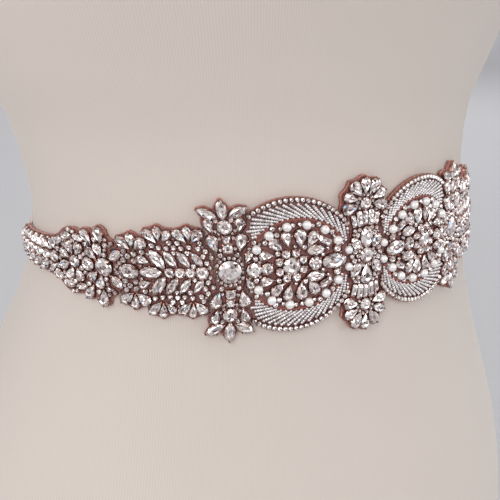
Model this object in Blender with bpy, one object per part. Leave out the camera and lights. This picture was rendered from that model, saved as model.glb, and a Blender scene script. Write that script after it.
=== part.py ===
"""Bridal sash worn on a limbless dress form.

The sash is a beaded band. Nine cut pieces of cloth backing lie edge to edge round the front of
the waist, and set stones, pearls and rows of bead cord are raised on their outer face. A satin
ribbon runs on from each end, and the two ends lap flat at the centre back. The dress form inside
is one smooth body that stands on its flat base.

The band is drawn flat, in millimetres: u runs from the centre front towards either side, t runs
up from the waistline. It is then wrapped on the form. The frame has +Z up, +X to the wearer's
left and the front towards -Y, with the origin under the middle of the form's base.
"""

import math

import bmesh
import bpy
import numpy as np
from mathutils.geometry import delaunay_2d_cdt

MM = 0.001

# Dress form: the waist's height over the base, and one row for each level section
WAIST_HEIGHT = 0.240
FORM_COLUMNS = ("height over waist", "half width", "half depth", "centre y")
FORM_SECTIONS = (
    (-0.2400, 0.1560, 0.1150, 0.0120),
    (-0.1900, 0.1640, 0.1205, 0.0175),
    (-0.1500, 0.1610, 0.1195, 0.0185),
    (-0.1100, 0.1513, 0.1160, 0.0200),
    (-0.0800, 0.1387, 0.1077, 0.0160),
    (-0.0500, 0.1266, 0.0983, 0.0100),
    (-0.0250, 0.1175, 0.0913, 0.0042),
    (0.0000, 0.1120, 0.0870, 0.0000),
    (0.0250, 0.1119, 0.0869, 0.0016),
    (0.0500, 0.1170, 0.0909, 0.0048),
    (0.0800, 0.1290, 0.1000, 0.0050),
    (0.1100, 0.1375, 0.1085, 0.0000),
    (0.1450, 0.1420, 0.1190, -0.0085),
    (0.1800, 0.1440, 0.1240, -0.0140),
    (0.2150, 0.1450, 0.1160, -0.0090),
    (0.2550, 0.1480, 0.0980, 0.0020),
    (0.2900, 0.1530, 0.0830, 0.0080),
    (0.3150, 0.1500, 0.0720, 0.0105),
    (0.3350, 0.1290, 0.0630, 0.0115),
    (0.3520, 0.0920, 0.0550, 0.0110),
    (0.3680, 0.0660, 0.0490, 0.0095),
    (0.3900, 0.0545, 0.0460, 0.0070),
    (0.4300, 0.0520, 0.0455, 0.0040),
)
FORM_SIDES = 40
FORM_EDGE = 0.005

# How the band sits on the form
CLEARANCE = 0.0007
SPLAY = 1.48
WAIST_HALF_WIDTH = 0.1120
WAIST_HALF_DEPTH = 0.0870

# Cloth and what is raised on it, in millimetres
BACKING = 1.6
SEAM = 0.5
PAD = 1.0
ROOM = 0.35
TABLE_SHARE = 0.68
STONE_HEIGHT = {
    "round": 2.4,
    "oval": 2.7,
    "drop": 2.3,
    "leaf": 2.2,
    "bar": 1.9,
    "pearl": 3.2,
    "cord": 1.4,
}

# Places of the motifs along the band, in millimetres from its middle
MEDALLION = 35.2
CROSS = 60.5
BRANCH = 73.2
FLOWER = 101.2
ROSETTE = 112.4
BUD = 126.7
TAPER = 138.6
BAND_END = 184.0

# The band lies a little off the centre front, and its middle line is not quite level
BAND_SHIFT = -2.0
LINE_COLUMNS = ("from the middle", "height")
BAND_LINE = (
    (0.0, -0.5),
    (35.0, -0.3),
    (60.0, -0.9),
    (83.0, -1.1),
    (101.0, -1.3),
    (113.0, -0.8),
    (127.0, -0.5),
    (150.0, -1.2),
    (184.0, -1.4),
    (250.0, -0.6),
    (316.0, 0.0),
)

# The medallion's petals: places from its hub, sizes, and the way each point faces
PETAL_COLUMNS = ("out", "up", "length", "width", "faces")
PETALS = (
    (10.1, 5.6, 6.0, 4.2, 186),
    (5.6, 9.5, 6.2, 4.2, 222),
    (1.0, 11.9, 6.2, 4.2, 262),
    (-4.7, 11.5, 6.2, 4.2, 274),
    (-9.6, 10.2, 6.2, 4.0, 306),
    (17.6, 5.6, 6.2, 3.6, -62),
)

# Ribbon: it starts by the end panel's tip, widens as it leaves, and its ends lap at the back
RIBBON_START = 183.6
RIBBON_WIDTH = 16.0
RIBBON_NECK = 8.0
RIBBON_THICKNESS = 1.0
RIBBON_LAP = 24.0
LAP_LIFT = 1.35


def smooth(knots, values, at):
    """Cubic curve through the values, with each knot's slope taken from its two neighbours."""
    knots = np.asarray(knots, float)
    values = np.asarray(values, float)
    slopes = np.gradient(values, knots)
    at = np.clip(at, knots[0], knots[-1])
    i = np.clip(np.searchsorted(knots, at, side="right") - 1, 0, len(knots) - 2)
    step = knots[i + 1] - knots[i]
    x = (at - knots[i]) / step
    return (
        (2 * x**3 - 3 * x**2 + 1) * values[i]
        + (x**3 - 2 * x**2 + x) * step * slopes[i]
        + (3 * x**2 - 2 * x**3) * values[i + 1]
        + (x**3 - x**2) * step * slopes[i + 1]
    )


SECTION = dict(zip(FORM_COLUMNS, np.array(FORM_SECTIONS).T))


def section(height):
    """Half width, half depth and centre of the form at a height over the waist."""
    knots = SECTION["height over waist"]
    return [smooth(knots, SECTION[name], height) for name in FORM_COLUMNS[1:]]


def form_point(turn, height, out=0.0):
    """A point on the form. turn runs from the front towards +X, and out is metres off the skin."""
    turn = np.asarray(turn, float)
    height = np.asarray(height, float) + 0 * turn
    half_width, half_depth, centre = section(height)
    step = 1e-4
    after = section(height + step)
    before = section(height - step)
    slope = [(a - b) / (2 * step) for a, b in zip(after, before)]
    sine, cosine = np.sin(turn), np.cos(turn)
    point = np.stack([half_width * sine, centre - half_depth * cosine, WAIST_HEIGHT + height], -1)
    round_way = np.stack([half_width * cosine, half_depth * sine, 0 * turn], -1)
    up_way = np.stack([slope[0] * sine, slope[2] - slope[1] * cosine, 1 + 0 * turn], -1)
    normal = np.cross(round_way, up_way)
    normal /= np.linalg.norm(normal, axis=-1, keepdims=True)
    return point + normal * np.asarray(out)[..., None]


def waist_turns():
    """Distances along the waistline from the centre front, and the turn at each."""
    turn = np.linspace(-math.pi, math.pi, 4001)
    x, y = WAIST_HALF_WIDTH * np.sin(turn), WAIST_HALF_DEPTH * np.cos(turn)
    along = np.concatenate([[0], np.cumsum(np.hypot(np.diff(x), np.diff(y)))])
    return along - along[2000], turn


ALONG, TURN = waist_turns()
HALF_GIRTH = ALONG[-1] / MM


def ring_point(ring, t, h):
    """A point over the form: ring round the waistline, t up, h off it, in millimetres."""
    ring, t, h = (np.asarray(v, float) for v in (ring, t, h))
    within = (ring + HALF_GIRTH) % (2 * HALF_GIRTH) - HALF_GIRTH
    turn = np.interp(within * MM, ALONG, TURN)
    return form_point(turn, t * MM, CLEARANCE + h * MM)


LINE = dict(zip(LINE_COLUMNS, np.array(BAND_LINE).T))


def band_point(s, t, h):
    """A point of the band, in the same terms. Its flat cut splays where it is wrapped in front."""
    s = np.asarray(s, float)
    t = np.asarray(t, float) + smooth(LINE["from the middle"], LINE["height"], np.abs(s))
    fade = np.clip((HALF_GIRTH - np.abs(s)) / (HALF_GIRTH - BAND_END), 0, 1)
    return ring_point((s + BAND_SHIFT) * (1 + SPLAY * t * MM * fade), t, h)


def stone(kind, u, t, length, width=None, turn=0.0):
    """One raised piece: its middle, its size, and the way its length (a drop's point) faces."""
    return {
        "kind": kind,
        "at": np.array([u, t], float),
        "length": length,
        "width": length if width is None else width,
        "turn": turn,
    }


def outline(piece, grow=0.0):
    """Corners of a piece's outline, counter-clockwise, with grow millimetres added all round."""
    half_long = piece["length"] / 2 + grow
    half_wide = piece["width"] / 2 + grow
    kind = piece["kind"]
    if kind in ("bar", "cord"):
        corners = [(half_long, half_wide), (-half_long, half_wide)]
        corners += [(-x, -y) for x, y in corners]
    elif kind == "leaf":
        side = [(0.36 * half_long, 0.88 * half_wide), (-0.36 * half_long, 0.88 * half_wide)]
        corners = [(half_long, 0), *side, (-half_long, 0)] + [(-x, -y) for x, y in side]
    elif kind == "drop":
        middle = half_wide - half_long
        turns = np.radians(np.linspace(72, 288, 5))
        round_end = [(middle + half_wide * math.cos(a), half_wide * math.sin(a)) for a in turns]
        corners = [(half_long, 0), *round_end]
    else:
        sides = 6 if piece["width"] < 4.5 else 8
        turns = (np.arange(sides) + 0.5) * 2 * math.pi / sides
        corners = [(half_long * math.cos(a), half_wide * math.sin(a)) for a in turns]
    corners = np.array(corners)
    a = math.radians(piece["turn"])
    way = np.array([[math.cos(a), math.sin(a)], [-math.sin(a), math.cos(a)]])
    return corners @ way + piece["at"]


def both(pieces):
    """The pieces and their images below the waistline."""
    lower = [dict(p, at=p["at"] * (1, -1), turn=-p["turn"]) for p in pieces]
    return pieces + lower


def fan(u, t, facings, length, width, reach):
    """Drops whose points meet near one place, as the petals of a fan do."""
    found = []
    for facing in facings:
        a = math.radians(facing)
        away = reach + length / 2
        middle = (u + away * math.cos(a), t + away * math.sin(a))
        found.append(stone("drop", *middle, length, width, facing + 180))
    return found


def ring(u, t, count, across_u, across_t, kind, size, start=0.0):
    """Equal stones on an oval."""
    turns = np.radians(start) + np.arange(count) * 2 * math.pi / count
    return [stone(kind, u + across_u * math.cos(a), t + across_t * math.sin(a), size) for a in turns]


def centre_motif():
    """Two fans, above and below a flower of seven petals, with short stems between them."""
    found = [stone("round", 0, 0, 5.8), stone("oval", 0, 7.8, 8.2, 5.4, 90)]
    found.append(stone("drop", 0, -8.2, 8.0, 5.4, 90))
    for side in (1, -1):
        found.append(stone("oval", 5.2 * side, 5.6, 6.2, 4.2, 90 - 40 * side))
        found.append(stone("leaf", 5.4 * side, -5.7, 7.0, 4.0, 90 + 36 * side))
        found += both([stone("pearl", 9.2 * side, 3.6, 3.9)])
        found += both([stone("bar", 2.9 * side, 15.9, 6.2, 2.3, 90 - 5 * side)])
        found += both([stone("bar", 5.8 * side, 15.1, 5.6, 2.3, 90 - 12 * side)])
    found += both([stone("bar", 0, 16.2, 6.4, 2.3, 90), stone("round", 0, 22.4, 4.6)])
    facings = [90 + 34 * k for k in range(-3, 4)]
    return found + both(fan(0, 22.6, facings, 7.2, 4.7, 4.0))


def medallion_motif():
    """An oval ring of pearls, with a hub in a ring of rounds inside it and petals about that."""
    hub = MEDALLION
    found = []
    for angle in (30, 54, 78, 102, 126, 150):
        a = math.radians(angle)
        found += both([stone("pearl", 31.8 + 20.2 * math.cos(a), 16.9 * math.sin(a), 3.9)])
    found.append(stone("round", hub, 0, 6.5))
    found += ring(hub, 0, 8, 5.5, 5.5, "round", 3.3, 22.5)
    found += [stone("round", hub + 10.1, 0, 4.2), stone("round", hub + 15.6, 0, 5.4)]
    found += [stone("round", hub - 10.4, 0, 5.0), stone("oval", hub - 19.0, 0, 10.4, 5.4, 0)]
    for out, up, length, width, faces in PETALS:
        found += both([stone("drop", hub + out, up, length, width, faces)])
    found += both([stone("leaf", hub - 10.7, 5.5, 7.8, 3.9, 0)])
    found += both([stone("bar", hub - 15.4, 8.9, 5.8, 2.8, 28)])
    return found + both([stone("round", hub - 20.6, 4.9, 3.2)])


def crescent_rows():
    """Rows of bead cord laid aslant between two ovals, above and below the pearls."""
    found = []
    for angle in np.arange(24, 160, 6.8):
        inner, outer = math.radians(angle), math.radians(angle - 12)
        a = np.array([31.8 + 23.2 * math.cos(inner), 20.0 * math.sin(inner)])
        b = np.array([33.6 + 27.6 * math.cos(outer), 26.4 * math.sin(outer)])
        along = b - a
        facing = math.degrees(math.atan2(along[1], along[0]))
        found += both([stone("cord", *(a + b) / 2, np.hypot(*along), 1.7, facing)])
    return found


def cross_motif():
    """A large hub with a stem up and a stem down, each ending in a spray of leaves."""
    found = [stone("round", CROSS, 0, 8.6)]
    for square in (9.6, 13.5):
        found += both([stone("bar", CROSS, square, 3.2, 3.2)])
    arm = [stone("round", CROSS, 18.7, 5.2), stone("leaf", CROSS, 26.1, 7.8, 3.7, 90)]
    for side in (1, -1):
        arm.append(stone("leaf", CROSS + 6.0 * side, 24.7, 7.4, 3.5, 90 - 64 * side))
        arm.append(stone("drop", CROSS + 5.9 * side, 19.2, 6.6, 4.1, -90 - 14 * side))
        arm.append(stone("drop", CROSS + 5.5 * side, 11.9, 6.6, 4.2, -90 - 14 * side))
    return found + both(arm)


def branch_motif():
    """A midrib of rounds between slanting leaves, edged above and below by fans of petals."""
    found = [stone("round", BRANCH - 1.6, 0, 4.6)]
    found += [stone("round", BRANCH + 3.0 + 4.2 * k, 0, 3.7) for k in range(3)]
    for k in range(4):
        found += both([stone("leaf", BRANCH + 5.3 * k, 5.6, 8.4, 4.1, 56)])
    found.append(stone("leaf", BRANCH + 19.1, 0, 8.8, 4.4, 0))
    found += both([stone("drop", BRANCH + 21.6, 5.0, 4.6, 3.0, 200)])
    for k in range(2):
        found += both(fan(BRANCH + 2.1 + 11.9 * k, 11.4, (50, 90, 130), 6.5, 3.9, 1.6))
    return found


def flower_motif():
    """A large oval between two fans, with small leaves and rounds beside it."""
    found = [stone("oval", FLOWER, 0, 8.4, 6.0)]
    found += both(fan(FLOWER - 2.4, 8.4, (42, 90, 138), 6.0, 4.0, 1.6))
    return found + both([stone("leaf", FLOWER + 5.6, 5.6, 6.2, 3.2, -42)])


def rosette_motif():
    """A round in a ring of petals, with a second round and outer petals."""
    found = [stone("round", ROSETTE, 0, 6.8), stone("round", ROSETTE + 7.5, 0, 4.9)]
    for angle in (42, 76, 110, 144):
        a = math.radians(angle)
        spot = (ROSETTE + 7.2 * math.cos(a), 7.0 * math.sin(a))
        found += both([stone("drop", *spot, 5.2, 3.7, angle + 180)])
    for angle in (60, 90, 122):
        a = math.radians(angle)
        spot = (ROSETTE + 12.6 * math.cos(a), 13.4 * math.sin(a))
        found += both([stone("drop", *spot, 6.0, 4.0, angle + 180)])
    return found


def bud_motif():
    """A smaller round in a ring of petals, with a leaf pair beyond them."""
    found = [stone("round", BUD, 0, 4.4)]
    for angle in (22.5, 67.5, 112.5, 157.5):
        a = math.radians(angle)
        spot = (BUD + 5.9 * math.cos(a), 5.9 * math.sin(a))
        found += both([stone("drop", *spot, 5.2, 3.8, angle + 180)])
    for out, up, faces in ((-3.4, 10.4, 8), (3.2, 10.2, -10), (9.0, 7.4, -34)):
        found += both([stone("leaf", BUD + out, up, 6.2, 3.2, faces)])
    return found


def taper_motif():
    """Rounds with paired leaves that grow smaller to the band's end, and a last drop."""
    found = []
    for k in range(7):
        u = TAPER + 5.7 * k
        leaf = 7.0 - 0.36 * k
        found.append(stone("round", u, 0, 4.0 - 0.12 * k))
        found += both([stone("leaf", u + 1.6, 5.2 - 0.28 * k, leaf, 3.5 - 0.1 * k, 40)])
    found.append(stone("drop", BAND_END - 5.2, 0, 6.6, 3.9, 0))
    return found


def gap_between(a, b):
    """Smallest distance between two outlines, negative where they overlap or touch."""
    if inside(a, b).any() or inside(b, a).any():
        return -1.0
    best = 1e9
    for p, q in ((a, b), (b, a)):
        start, along = q, np.roll(q, -1, 0) - q
        to_point = p[:, None] - start
        share = np.clip((to_point * along).sum(-1) / (along**2).sum(-1), 0, 1)
        best = min(best, np.linalg.norm(to_point - share[..., None] * along, axis=-1).min())
    return best


def inside(points, polygon):
    """Which points lie in a polygon, by counting the edges to their right."""
    x, y = points[:, 0][:, None], points[:, 1][:, None]
    x1, y1 = polygon[:, 0], polygon[:, 1]
    x2, y2 = np.roll(x1, -1), np.roll(y1, -1)
    spans = (y1 > y) != (y2 > y)
    rise = np.where(y2 == y1, 1e-12, y2 - y1)
    return (spans & (x < (x2 - x1) * (y - y1) / rise + x1)).sum(1) % 2 == 1


def settle(pieces, around=()):
    """Seats the pieces in order. One that comes too near another is made smaller, or left out."""
    seated = []
    taken = [(p["at"], p["length"], outline(p)) for p in around]
    for piece in pieces:
        for share in (1.0, 0.92, 0.84, 0.76):
            trial = dict(piece, length=piece["length"] * share, width=piece["width"] * share)
            shape = outline(trial)
            near = [
                other
                for at, length, other in taken
                if np.hypot(*(at - trial["at"])) < (length + trial["length"]) / 2 + 2
            ]
            if all(gap_between(shape, other) >= ROOM for other in near):
                seated.append(trial)
                taken.append((trial["at"], trial["length"], shape))
                break
    return seated


def mirrored(pieces):
    """The pieces on the other side of the centre front."""
    return [dict(p, at=p["at"] * (-1, 1), turn=180 - p["turn"]) for p in pieces]


def oval(u, t, half_u, half_t, sides=28):
    """An oval patch of backing."""
    a = np.arange(sides) * 2 * math.pi / sides
    return np.stack([u + half_u * np.cos(a), t + half_t * np.sin(a)], -1)


def box(u0, u1, t0, t1):
    """An upright patch of backing."""
    return np.array([(u0, t0), (u1, t0), (u1, t1), (u0, t1)], float)


def taper_patch():
    """Backing under the band's narrowing end."""
    upper = [(124.0, 12.0), (135.0, 10.6), (140.0, 8.6), (158.0, 6.6), (BAND_END - 6, 4.6)]
    upper.append((BAND_END - 1.0, 2.6))
    return np.array([(u, -t) for u, t in upper] + upper[::-1], float)


def moved_out(loop, by):
    """A loop with its edges moved out by this much."""
    ahead = np.roll(loop, -1, 0) - loop
    ahead /= np.hypot(*ahead.T)[:, None]
    normal = np.stack([ahead[:, 1], -ahead[:, 0]], -1)
    earlier = np.roll(normal, 1, 0)
    share = 1 / np.maximum(1 + (normal * earlier).sum(-1), 0.5)
    return loop + by * (normal + earlier) * share[:, None]


def triangulate(loops, loose=()):
    """Triangles that keep every edge of the loops, as point and face arrays."""
    points, edges = [], []
    for loop in loops:
        first = len(points)
        count = len(loop)
        points += [tuple(p) for p in loop]
        edges += [(first + i, first + (i + 1) % count) for i in range(count)]
    points += [tuple(p) for p in loose]
    found = delaunay_2d_cdt(points, edges, [], 0, 1e-6)
    return np.array(found[0]), np.array(found[2])


def loops_of(points, faces):
    """Outer and inner border loops of a patch of triangles."""
    onward = {}
    seen = {(a, b) for f in faces for a, b in zip(f, np.roll(f, -1))}
    for a, b in seen:
        if (b, a) not in seen:
            onward.setdefault(a, []).append(b)
    found = []
    while onward:
        start = next(iter(onward))
        loop, here = [], start
        while here in onward:
            loop.append(here)
            options = onward[here]
            after = options.pop()
            if not options:
                del onward[here]
            here = after
            if here == start:
                break
        found.append(points[loop])
    return found


def area(loop):
    """Signed area of a loop."""
    x, y = loop[:, 0], loop[:, 1]
    return 0.5 * (x * np.roll(y, -1) - np.roll(x, -1) * y).sum()


def tidy_loop(loop, shortest, flattest, sharpest):
    """The loop without its very short edges, nearly straight corners and narrow spikes."""
    changed = True
    while changed and len(loop) > 8:
        changed = False
        ahead = np.roll(loop, -1, 0) - loop
        sides = np.hypot(*ahead.T)
        i = int(sides.argmin())
        if sides[i] < shortest:
            j = (i + 1) % len(loop)
            loop[i] = (loop[i] + loop[j]) / 2
            loop = np.delete(loop, j, 0)
            changed = True
            continue
        before, after = np.roll(loop, 1, 0), np.roll(loop, -1, 0)
        base = after - before
        out = loop - before
        bump = np.abs(base[:, 0] * out[:, 1] - base[:, 1] * out[:, 0]) / np.hypot(*base.T)
        i = int(bump.argmin())
        if bump[i] < flattest:
            loop = np.delete(loop, i, 0)
            changed = True
            continue
        back, on = before - loop, after - loop
        cosine = (back * on).sum(-1) / (np.hypot(*back.T) * np.hypot(*on.T))
        i = int(cosine.argmax())
        if cosine[i] > math.cos(math.radians(sharpest)):
            loop = np.delete(loop, i, 0)
            changed = True
    return loop


def split(loop, longest):
    """The loop with its long edges cut into equal shorter ones, so that it can bend."""
    found = []
    for start, end in zip(loop, np.roll(loop, -1, 0)):
        count = math.ceil(np.hypot(*(end - start)) / longest)
        found += [start + (end - start) * i / count for i in range(count)]
    return np.array(found)


def joined(kept, lost=()):
    """The border of some patches taken together, less what lies over others."""
    points, faces = triangulate([*kept, *lost])
    middles = points[faces].mean(1)
    inner = np.zeros(len(faces), bool)
    for polygon in kept:
        inner |= inside(middles, polygon)
    for polygon in lost:
        inner &= ~inside(middles, polygon)
    return max(loops_of(points, faces[inner]), key=area)


def panel_loop(panel, beside):
    """The cut edge of a panel: its ground and a pad round each stone, less the panels beside it."""
    pads = [outline(p, PAD) for p in panel["pieces"] if p["kind"] != "cord"]
    loop = tidy_loop(joined(panel["ground"] + pads), 1.5, 0.2, 38)
    if beside:
        loop = joined([loop], [moved_out(other, SEAM) for other in beside])
        loop = tidy_loop(loop, 0.3, 0.03, 20)
    return split(loop, 7.0)


def clear_of(points, loop, by):
    """Which points lie further than this from a loop's edge."""
    along = np.roll(loop, -1, 0) - loop
    to_point = points[:, None] - loop
    share = np.clip((to_point * along).sum(-1) / (along**2).sum(-1), 0, 1)
    away = np.linalg.norm(to_point - share[..., None] * along, axis=-1)
    return away.min(1) > by


def loose_points(loop, shapes, spacing):
    """Points inside a loop, clear of the raised pieces, that let the cloth bend."""
    low, high = loop.min(0), loop.max(0)
    u, t = (np.arange(a + spacing / 2, b, spacing) for a, b in zip(low, high))
    points = np.stack(np.meshgrid(u, t), -1).reshape(-1, 2)
    points = points[inside(points, loop)]
    points = points[clear_of(points, loop, 1.6)] if len(points) else points
    for shape in shapes:
        if len(points):
            points = points[~inside(points, shape)]
        if len(points):
            points = points[clear_of(points, shape, 1.0)]
    return points


def numbered(found, known):
    """Index of each found point among the known ones."""
    away = np.linalg.norm(found[:, None] - known[None], axis=-1)
    nearest = away.argmin(1)
    if away.min(1).max() > 1e-3:
        raise ValueError("two raised pieces cross, or one crosses its panel's edge")
    return nearest


def panel_solid(panel, loop):
    """The wall of one panel: raised outer face, plain inner face and the edge between them."""
    shapes, heights = [], []
    for piece in panel["pieces"]:
        shape = outline(piece)
        if inside(shape, loop).all() and clear_of(shape, loop, 0.25).all():
            shapes.append(shape)
            heights.append(STONE_HEIGHT[piece["kind"]])
    bend = loose_points(loop, shapes, 7.0)
    known = np.concatenate([loop, *shapes, bend]) if len(bend) else np.concatenate([loop, *shapes])
    points, faces = triangulate([loop, *shapes], bend)
    middles = points[faces].mean(1)
    face_kept = inside(middles, loop)
    for shape in shapes:
        face_kept &= ~inside(middles, shape)
    outer_faces = numbered(points, known)[faces[face_kept]]
    mesh = bmesh.new()
    face_points = band_point(known[:, 0], known[:, 1], BACKING + 0 * known[:, 0])
    outer = [mesh.verts.new(p) for p in face_points]
    for a, b, c in outer_faces:
        mesh.faces.new((outer[a], outer[b], outer[c]))
    first = len(loop)
    for shape, height in zip(shapes, heights):
        count = len(shape)
        foot = outer[first : first + count]
        first += count
        middle = shape.mean(0)
        top = (shape - middle) * TABLE_SHARE + middle
        if height <= STONE_HEIGHT["cord"]:
            top = (shape - middle) * (0.92, 0.92) + middle
        crown = [mesh.verts.new(p) for p in band_point(*top.T, BACKING + height + 0 * top[:, 0])]
        for i in range(count):
            j = (i + 1) % count
            mesh.faces.new((foot[i], foot[j], crown[j], crown[i]))
        mesh.faces.new(crown)
    back = loose_points(loop, [], 8.0)
    back_known = np.concatenate([loop, back]) if len(back) else loop
    points, faces = triangulate([loop], back)
    face_kept = inside(points[faces].mean(1), loop)
    inner_faces = numbered(points, back_known)[faces[face_kept]]
    inner = [mesh.verts.new(p) for p in band_point(*back_known.T, 0 * back_known[:, 0])]
    for a, b, c in inner_faces:
        mesh.faces.new((inner[c], inner[b], inner[a]))
    for i in range(len(loop)):
        j = (i + 1) % len(loop)
        mesh.faces.new((outer[j], outer[i], inner[i], inner[j]))
    return mesh


def material(name, colour, roughness, metallic=0.0):
    """A Principled material."""
    made = bpy.data.materials.new(name)
    made.use_nodes = True
    shader = made.node_tree.nodes["Principled BSDF"]
    shader.inputs["Base Color"].default_value = (*colour, 1.0)
    shader.inputs["Roughness"].default_value = roughness
    shader.inputs["Metallic"].default_value = metallic
    return made


def add_node(name, mesh, look):
    """Puts a closed bmesh into the scene as one named node."""
    bmesh.ops.recalc_face_normals(mesh, faces=mesh.faces)
    data = bpy.data.meshes.new(name)
    mesh.to_mesh(data)
    mesh.free()
    data.materials.append(look)
    node = bpy.data.objects.new(name, data)
    bpy.context.scene.collection.objects.link(node)
    return node


def ring_wall(mesh, rows):
    """Joins rows of points into a closed tube with flat ends, each row one loop."""
    verts = [[mesh.verts.new(p) for p in row] for row in rows]
    count = len(verts[0])
    for lower, upper in zip(verts, verts[1:]):
        for i in range(count):
            j = (i + 1) % count
            mesh.faces.new((lower[i], lower[j], upper[j], upper[i]))
    mesh.faces.new(verts[0][::-1])
    mesh.faces.new(verts[-1])


def form_solid():
    """The dress form, from its flat base to the closed neck, with a small round at both edges."""
    low, high = FORM_SECTIONS[0][0], FORM_SECTIONS[-1][0]
    near_waist = np.arange(-0.050, 0.0501, 0.010)
    below = np.linspace(low, -0.050, 8)[:-1]
    above = np.linspace(0.050, high, 19)[1:]
    levels = np.concatenate([below, near_waist, above])
    turns = np.arange(FORM_SIDES) * 2 * math.pi / FORM_SIDES
    rows = [form_point(turns, level) for level in levels]
    mesh = bmesh.new()
    for end, level, sign in ((0, low, 1), (-1, high, -1)):
        rim = rows[end].copy()
        centre = rim.mean(0)
        away = rim - centre
        size = np.hypot(away[:, 0], away[:, 1]).mean()
        rim[:, :2] = centre[:2] + away[:, :2] * (1 - FORM_EDGE / size)
        lifted = rows[end].copy()
        lifted[:, 2] += sign * FORM_EDGE
        rows[end] = lifted
        rows = [rim, *rows] if end == 0 else [*rows, rim]
    ring_wall(mesh, rows)
    return mesh


def ribbon_solid(side):
    """The ribbon from the band's end to past the centre back, where the left laps over the right."""
    start = RIBBON_START + side * BAND_SHIFT
    end = HALF_GIRTH + RIBBON_LAP / 2
    over = side > 0
    rows = []
    for share in np.linspace(0, 1, 26):
        ring = start + share * (end - start)
        wide = min(1.0, (ring - start) / 24)
        half = (RIBBON_NECK + (RIBBON_WIDTH - RIBBON_NECK) * wide * wide * (3 - 2 * wide)) / 2
        climb = np.clip((ring - HALF_GIRTH + RIBBON_LAP / 2 + 16) / 14, 0, 1)
        lift = LAP_LIFT * climb * climb * (3 - 2 * climb) if over else 0.0
        line = float(smooth(LINE["from the middle"], LINE["height"], ring))
        t = line + np.array([-half, half, half, -half])
        h = lift + np.array([0, 0, RIBBON_THICKNESS, RIBBON_THICKNESS])
        rows.append(ring_point(side * ring + 0 * t, t, h))
    mesh = bmesh.new()
    ring_wall(mesh, rows)
    return mesh


def all_panels():
    """The centre panel, then those of the wearer's left, in order from the centre."""
    centre = {"pieces": settle(centre_motif())}
    centre["ground"] = [box(-7.5, 7.5, -24, 24), oval(0, 0, 8.6, 12, 20)]
    centre["ground"] += [oval(0, 22.5, 9, 8, 16), oval(0, -22.5, 9, 8, 16)]
    cross = {"pieces": settle(cross_motif())}
    cross["ground"] = [box(CROSS - 3.6, CROSS + 3.6, -23.6, 23.6), oval(CROSS, 0, 6.2, 13.6, 20)]
    beside = centre["pieces"] + cross["pieces"]
    medallion = {"pieces": settle(medallion_motif() + crescent_rows(), beside)}
    medallion["ground"] = [oval(33.4, 0, 29.6, 28.8, 40)]
    branch = {"pieces": settle(branch_motif() + flower_motif(), cross["pieces"])}
    branch["ground"] = [box(66.0, 96.0, -13.4, 13.4), oval(FLOWER - 2, 0, 9.5, 11.6, 20)]
    end = {"pieces": settle(rosette_motif() + bud_motif() + taper_motif(), branch["pieces"])}
    end["ground"] = [oval(ROSETTE, 0, 10.5, 13.0, 20), oval(BUD, 0, 13.0, 14.2, 24), taper_patch()]
    centre["loop"] = panel_loop(centre, ())
    cross["loop"] = panel_loop(cross, ())
    medallion["loop"] = panel_loop(medallion, (centre["loop"], cross["loop"]))
    branch["loop"] = panel_loop(branch, (cross["loop"],))
    end["loop"] = panel_loop(end, (branch["loop"],))
    names = ("centre", "medallion", "cross", "branch", "end")
    return dict(zip(names, (centre, medallion, cross, branch, end)))


def build():
    """Clears the scene and makes every node."""
    for old in list(bpy.data.objects):
        bpy.data.objects.remove(old)
    backing = material("rose_backing", (0.46, 0.27, 0.24), 0.75)
    satin = material("blush_satin", (0.80, 0.62, 0.58), 0.35)
    linen = material("form_cover", (0.72, 0.68, 0.64), 0.85)
    for name, panel in all_panels().items():
        if name == "centre":
            add_node("applique_centre", panel_solid(panel, panel["loop"]), backing)
            continue
        add_node(f"applique_{name}_left", panel_solid(panel, panel["loop"]), backing)
        other = {"pieces": mirrored(panel["pieces"])}
        add_node(f"applique_{name}_right", panel_solid(other, panel["loop"][::-1] * (-1, 1)), backing)
    for side, word in ((1, "left"), (-1, "right")):
        add_node(f"ribbon_{word}", ribbon_solid(side), satin)
    form = add_node("dress_form", form_solid(), linen)
    form.data.shade_smooth()
    form.data.set_sharp_from_angle(angle=math.radians(50))


build()
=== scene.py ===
"""Dressed model of a jewelled bridal sash worn on a smooth limbless dress form.

The sash is drawn flat, in millimetres: u runs from the band's middle to the wearer's left, and t
runs up from its middle line. A Wrap carries that drawing on to the form. The classes below make, in
order, the form's cover, the cut cloth panels with their corded edges, the cut stones in their cups,
the pearls, the rows of cut beads, the fine chains, and the satin ribbons that close at the back.
"""

import logging
import math
from collections.abc import Sequence
from dataclasses import dataclass, field, replace
from enum import Enum

import bpy
import numpy as np
from mathutils import Matrix, Vector
from mathutils.geometry import delaunay_2d_cdt

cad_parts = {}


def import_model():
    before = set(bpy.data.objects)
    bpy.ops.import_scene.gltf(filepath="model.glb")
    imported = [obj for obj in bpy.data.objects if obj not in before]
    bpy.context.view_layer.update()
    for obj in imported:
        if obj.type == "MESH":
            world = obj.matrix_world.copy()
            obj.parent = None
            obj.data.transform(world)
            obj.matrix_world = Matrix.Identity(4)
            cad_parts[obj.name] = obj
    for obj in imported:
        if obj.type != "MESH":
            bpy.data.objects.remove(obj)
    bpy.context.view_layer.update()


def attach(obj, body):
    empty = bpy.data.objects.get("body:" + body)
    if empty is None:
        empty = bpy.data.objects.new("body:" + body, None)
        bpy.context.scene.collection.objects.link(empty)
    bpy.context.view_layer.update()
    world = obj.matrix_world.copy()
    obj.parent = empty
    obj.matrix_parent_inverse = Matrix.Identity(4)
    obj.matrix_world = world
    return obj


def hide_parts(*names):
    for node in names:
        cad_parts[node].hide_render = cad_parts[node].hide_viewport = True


LOG = logging.getLogger("bridal_sash")
MM = 0.001
CUT_SCALE = 0.01  # of the UV map, to a millimetre of the flat cut
Array = np.ndarray
Place = tuple[float, float, float]
Colour = tuple[float, float, float]
Material = bpy.types.Material
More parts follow.
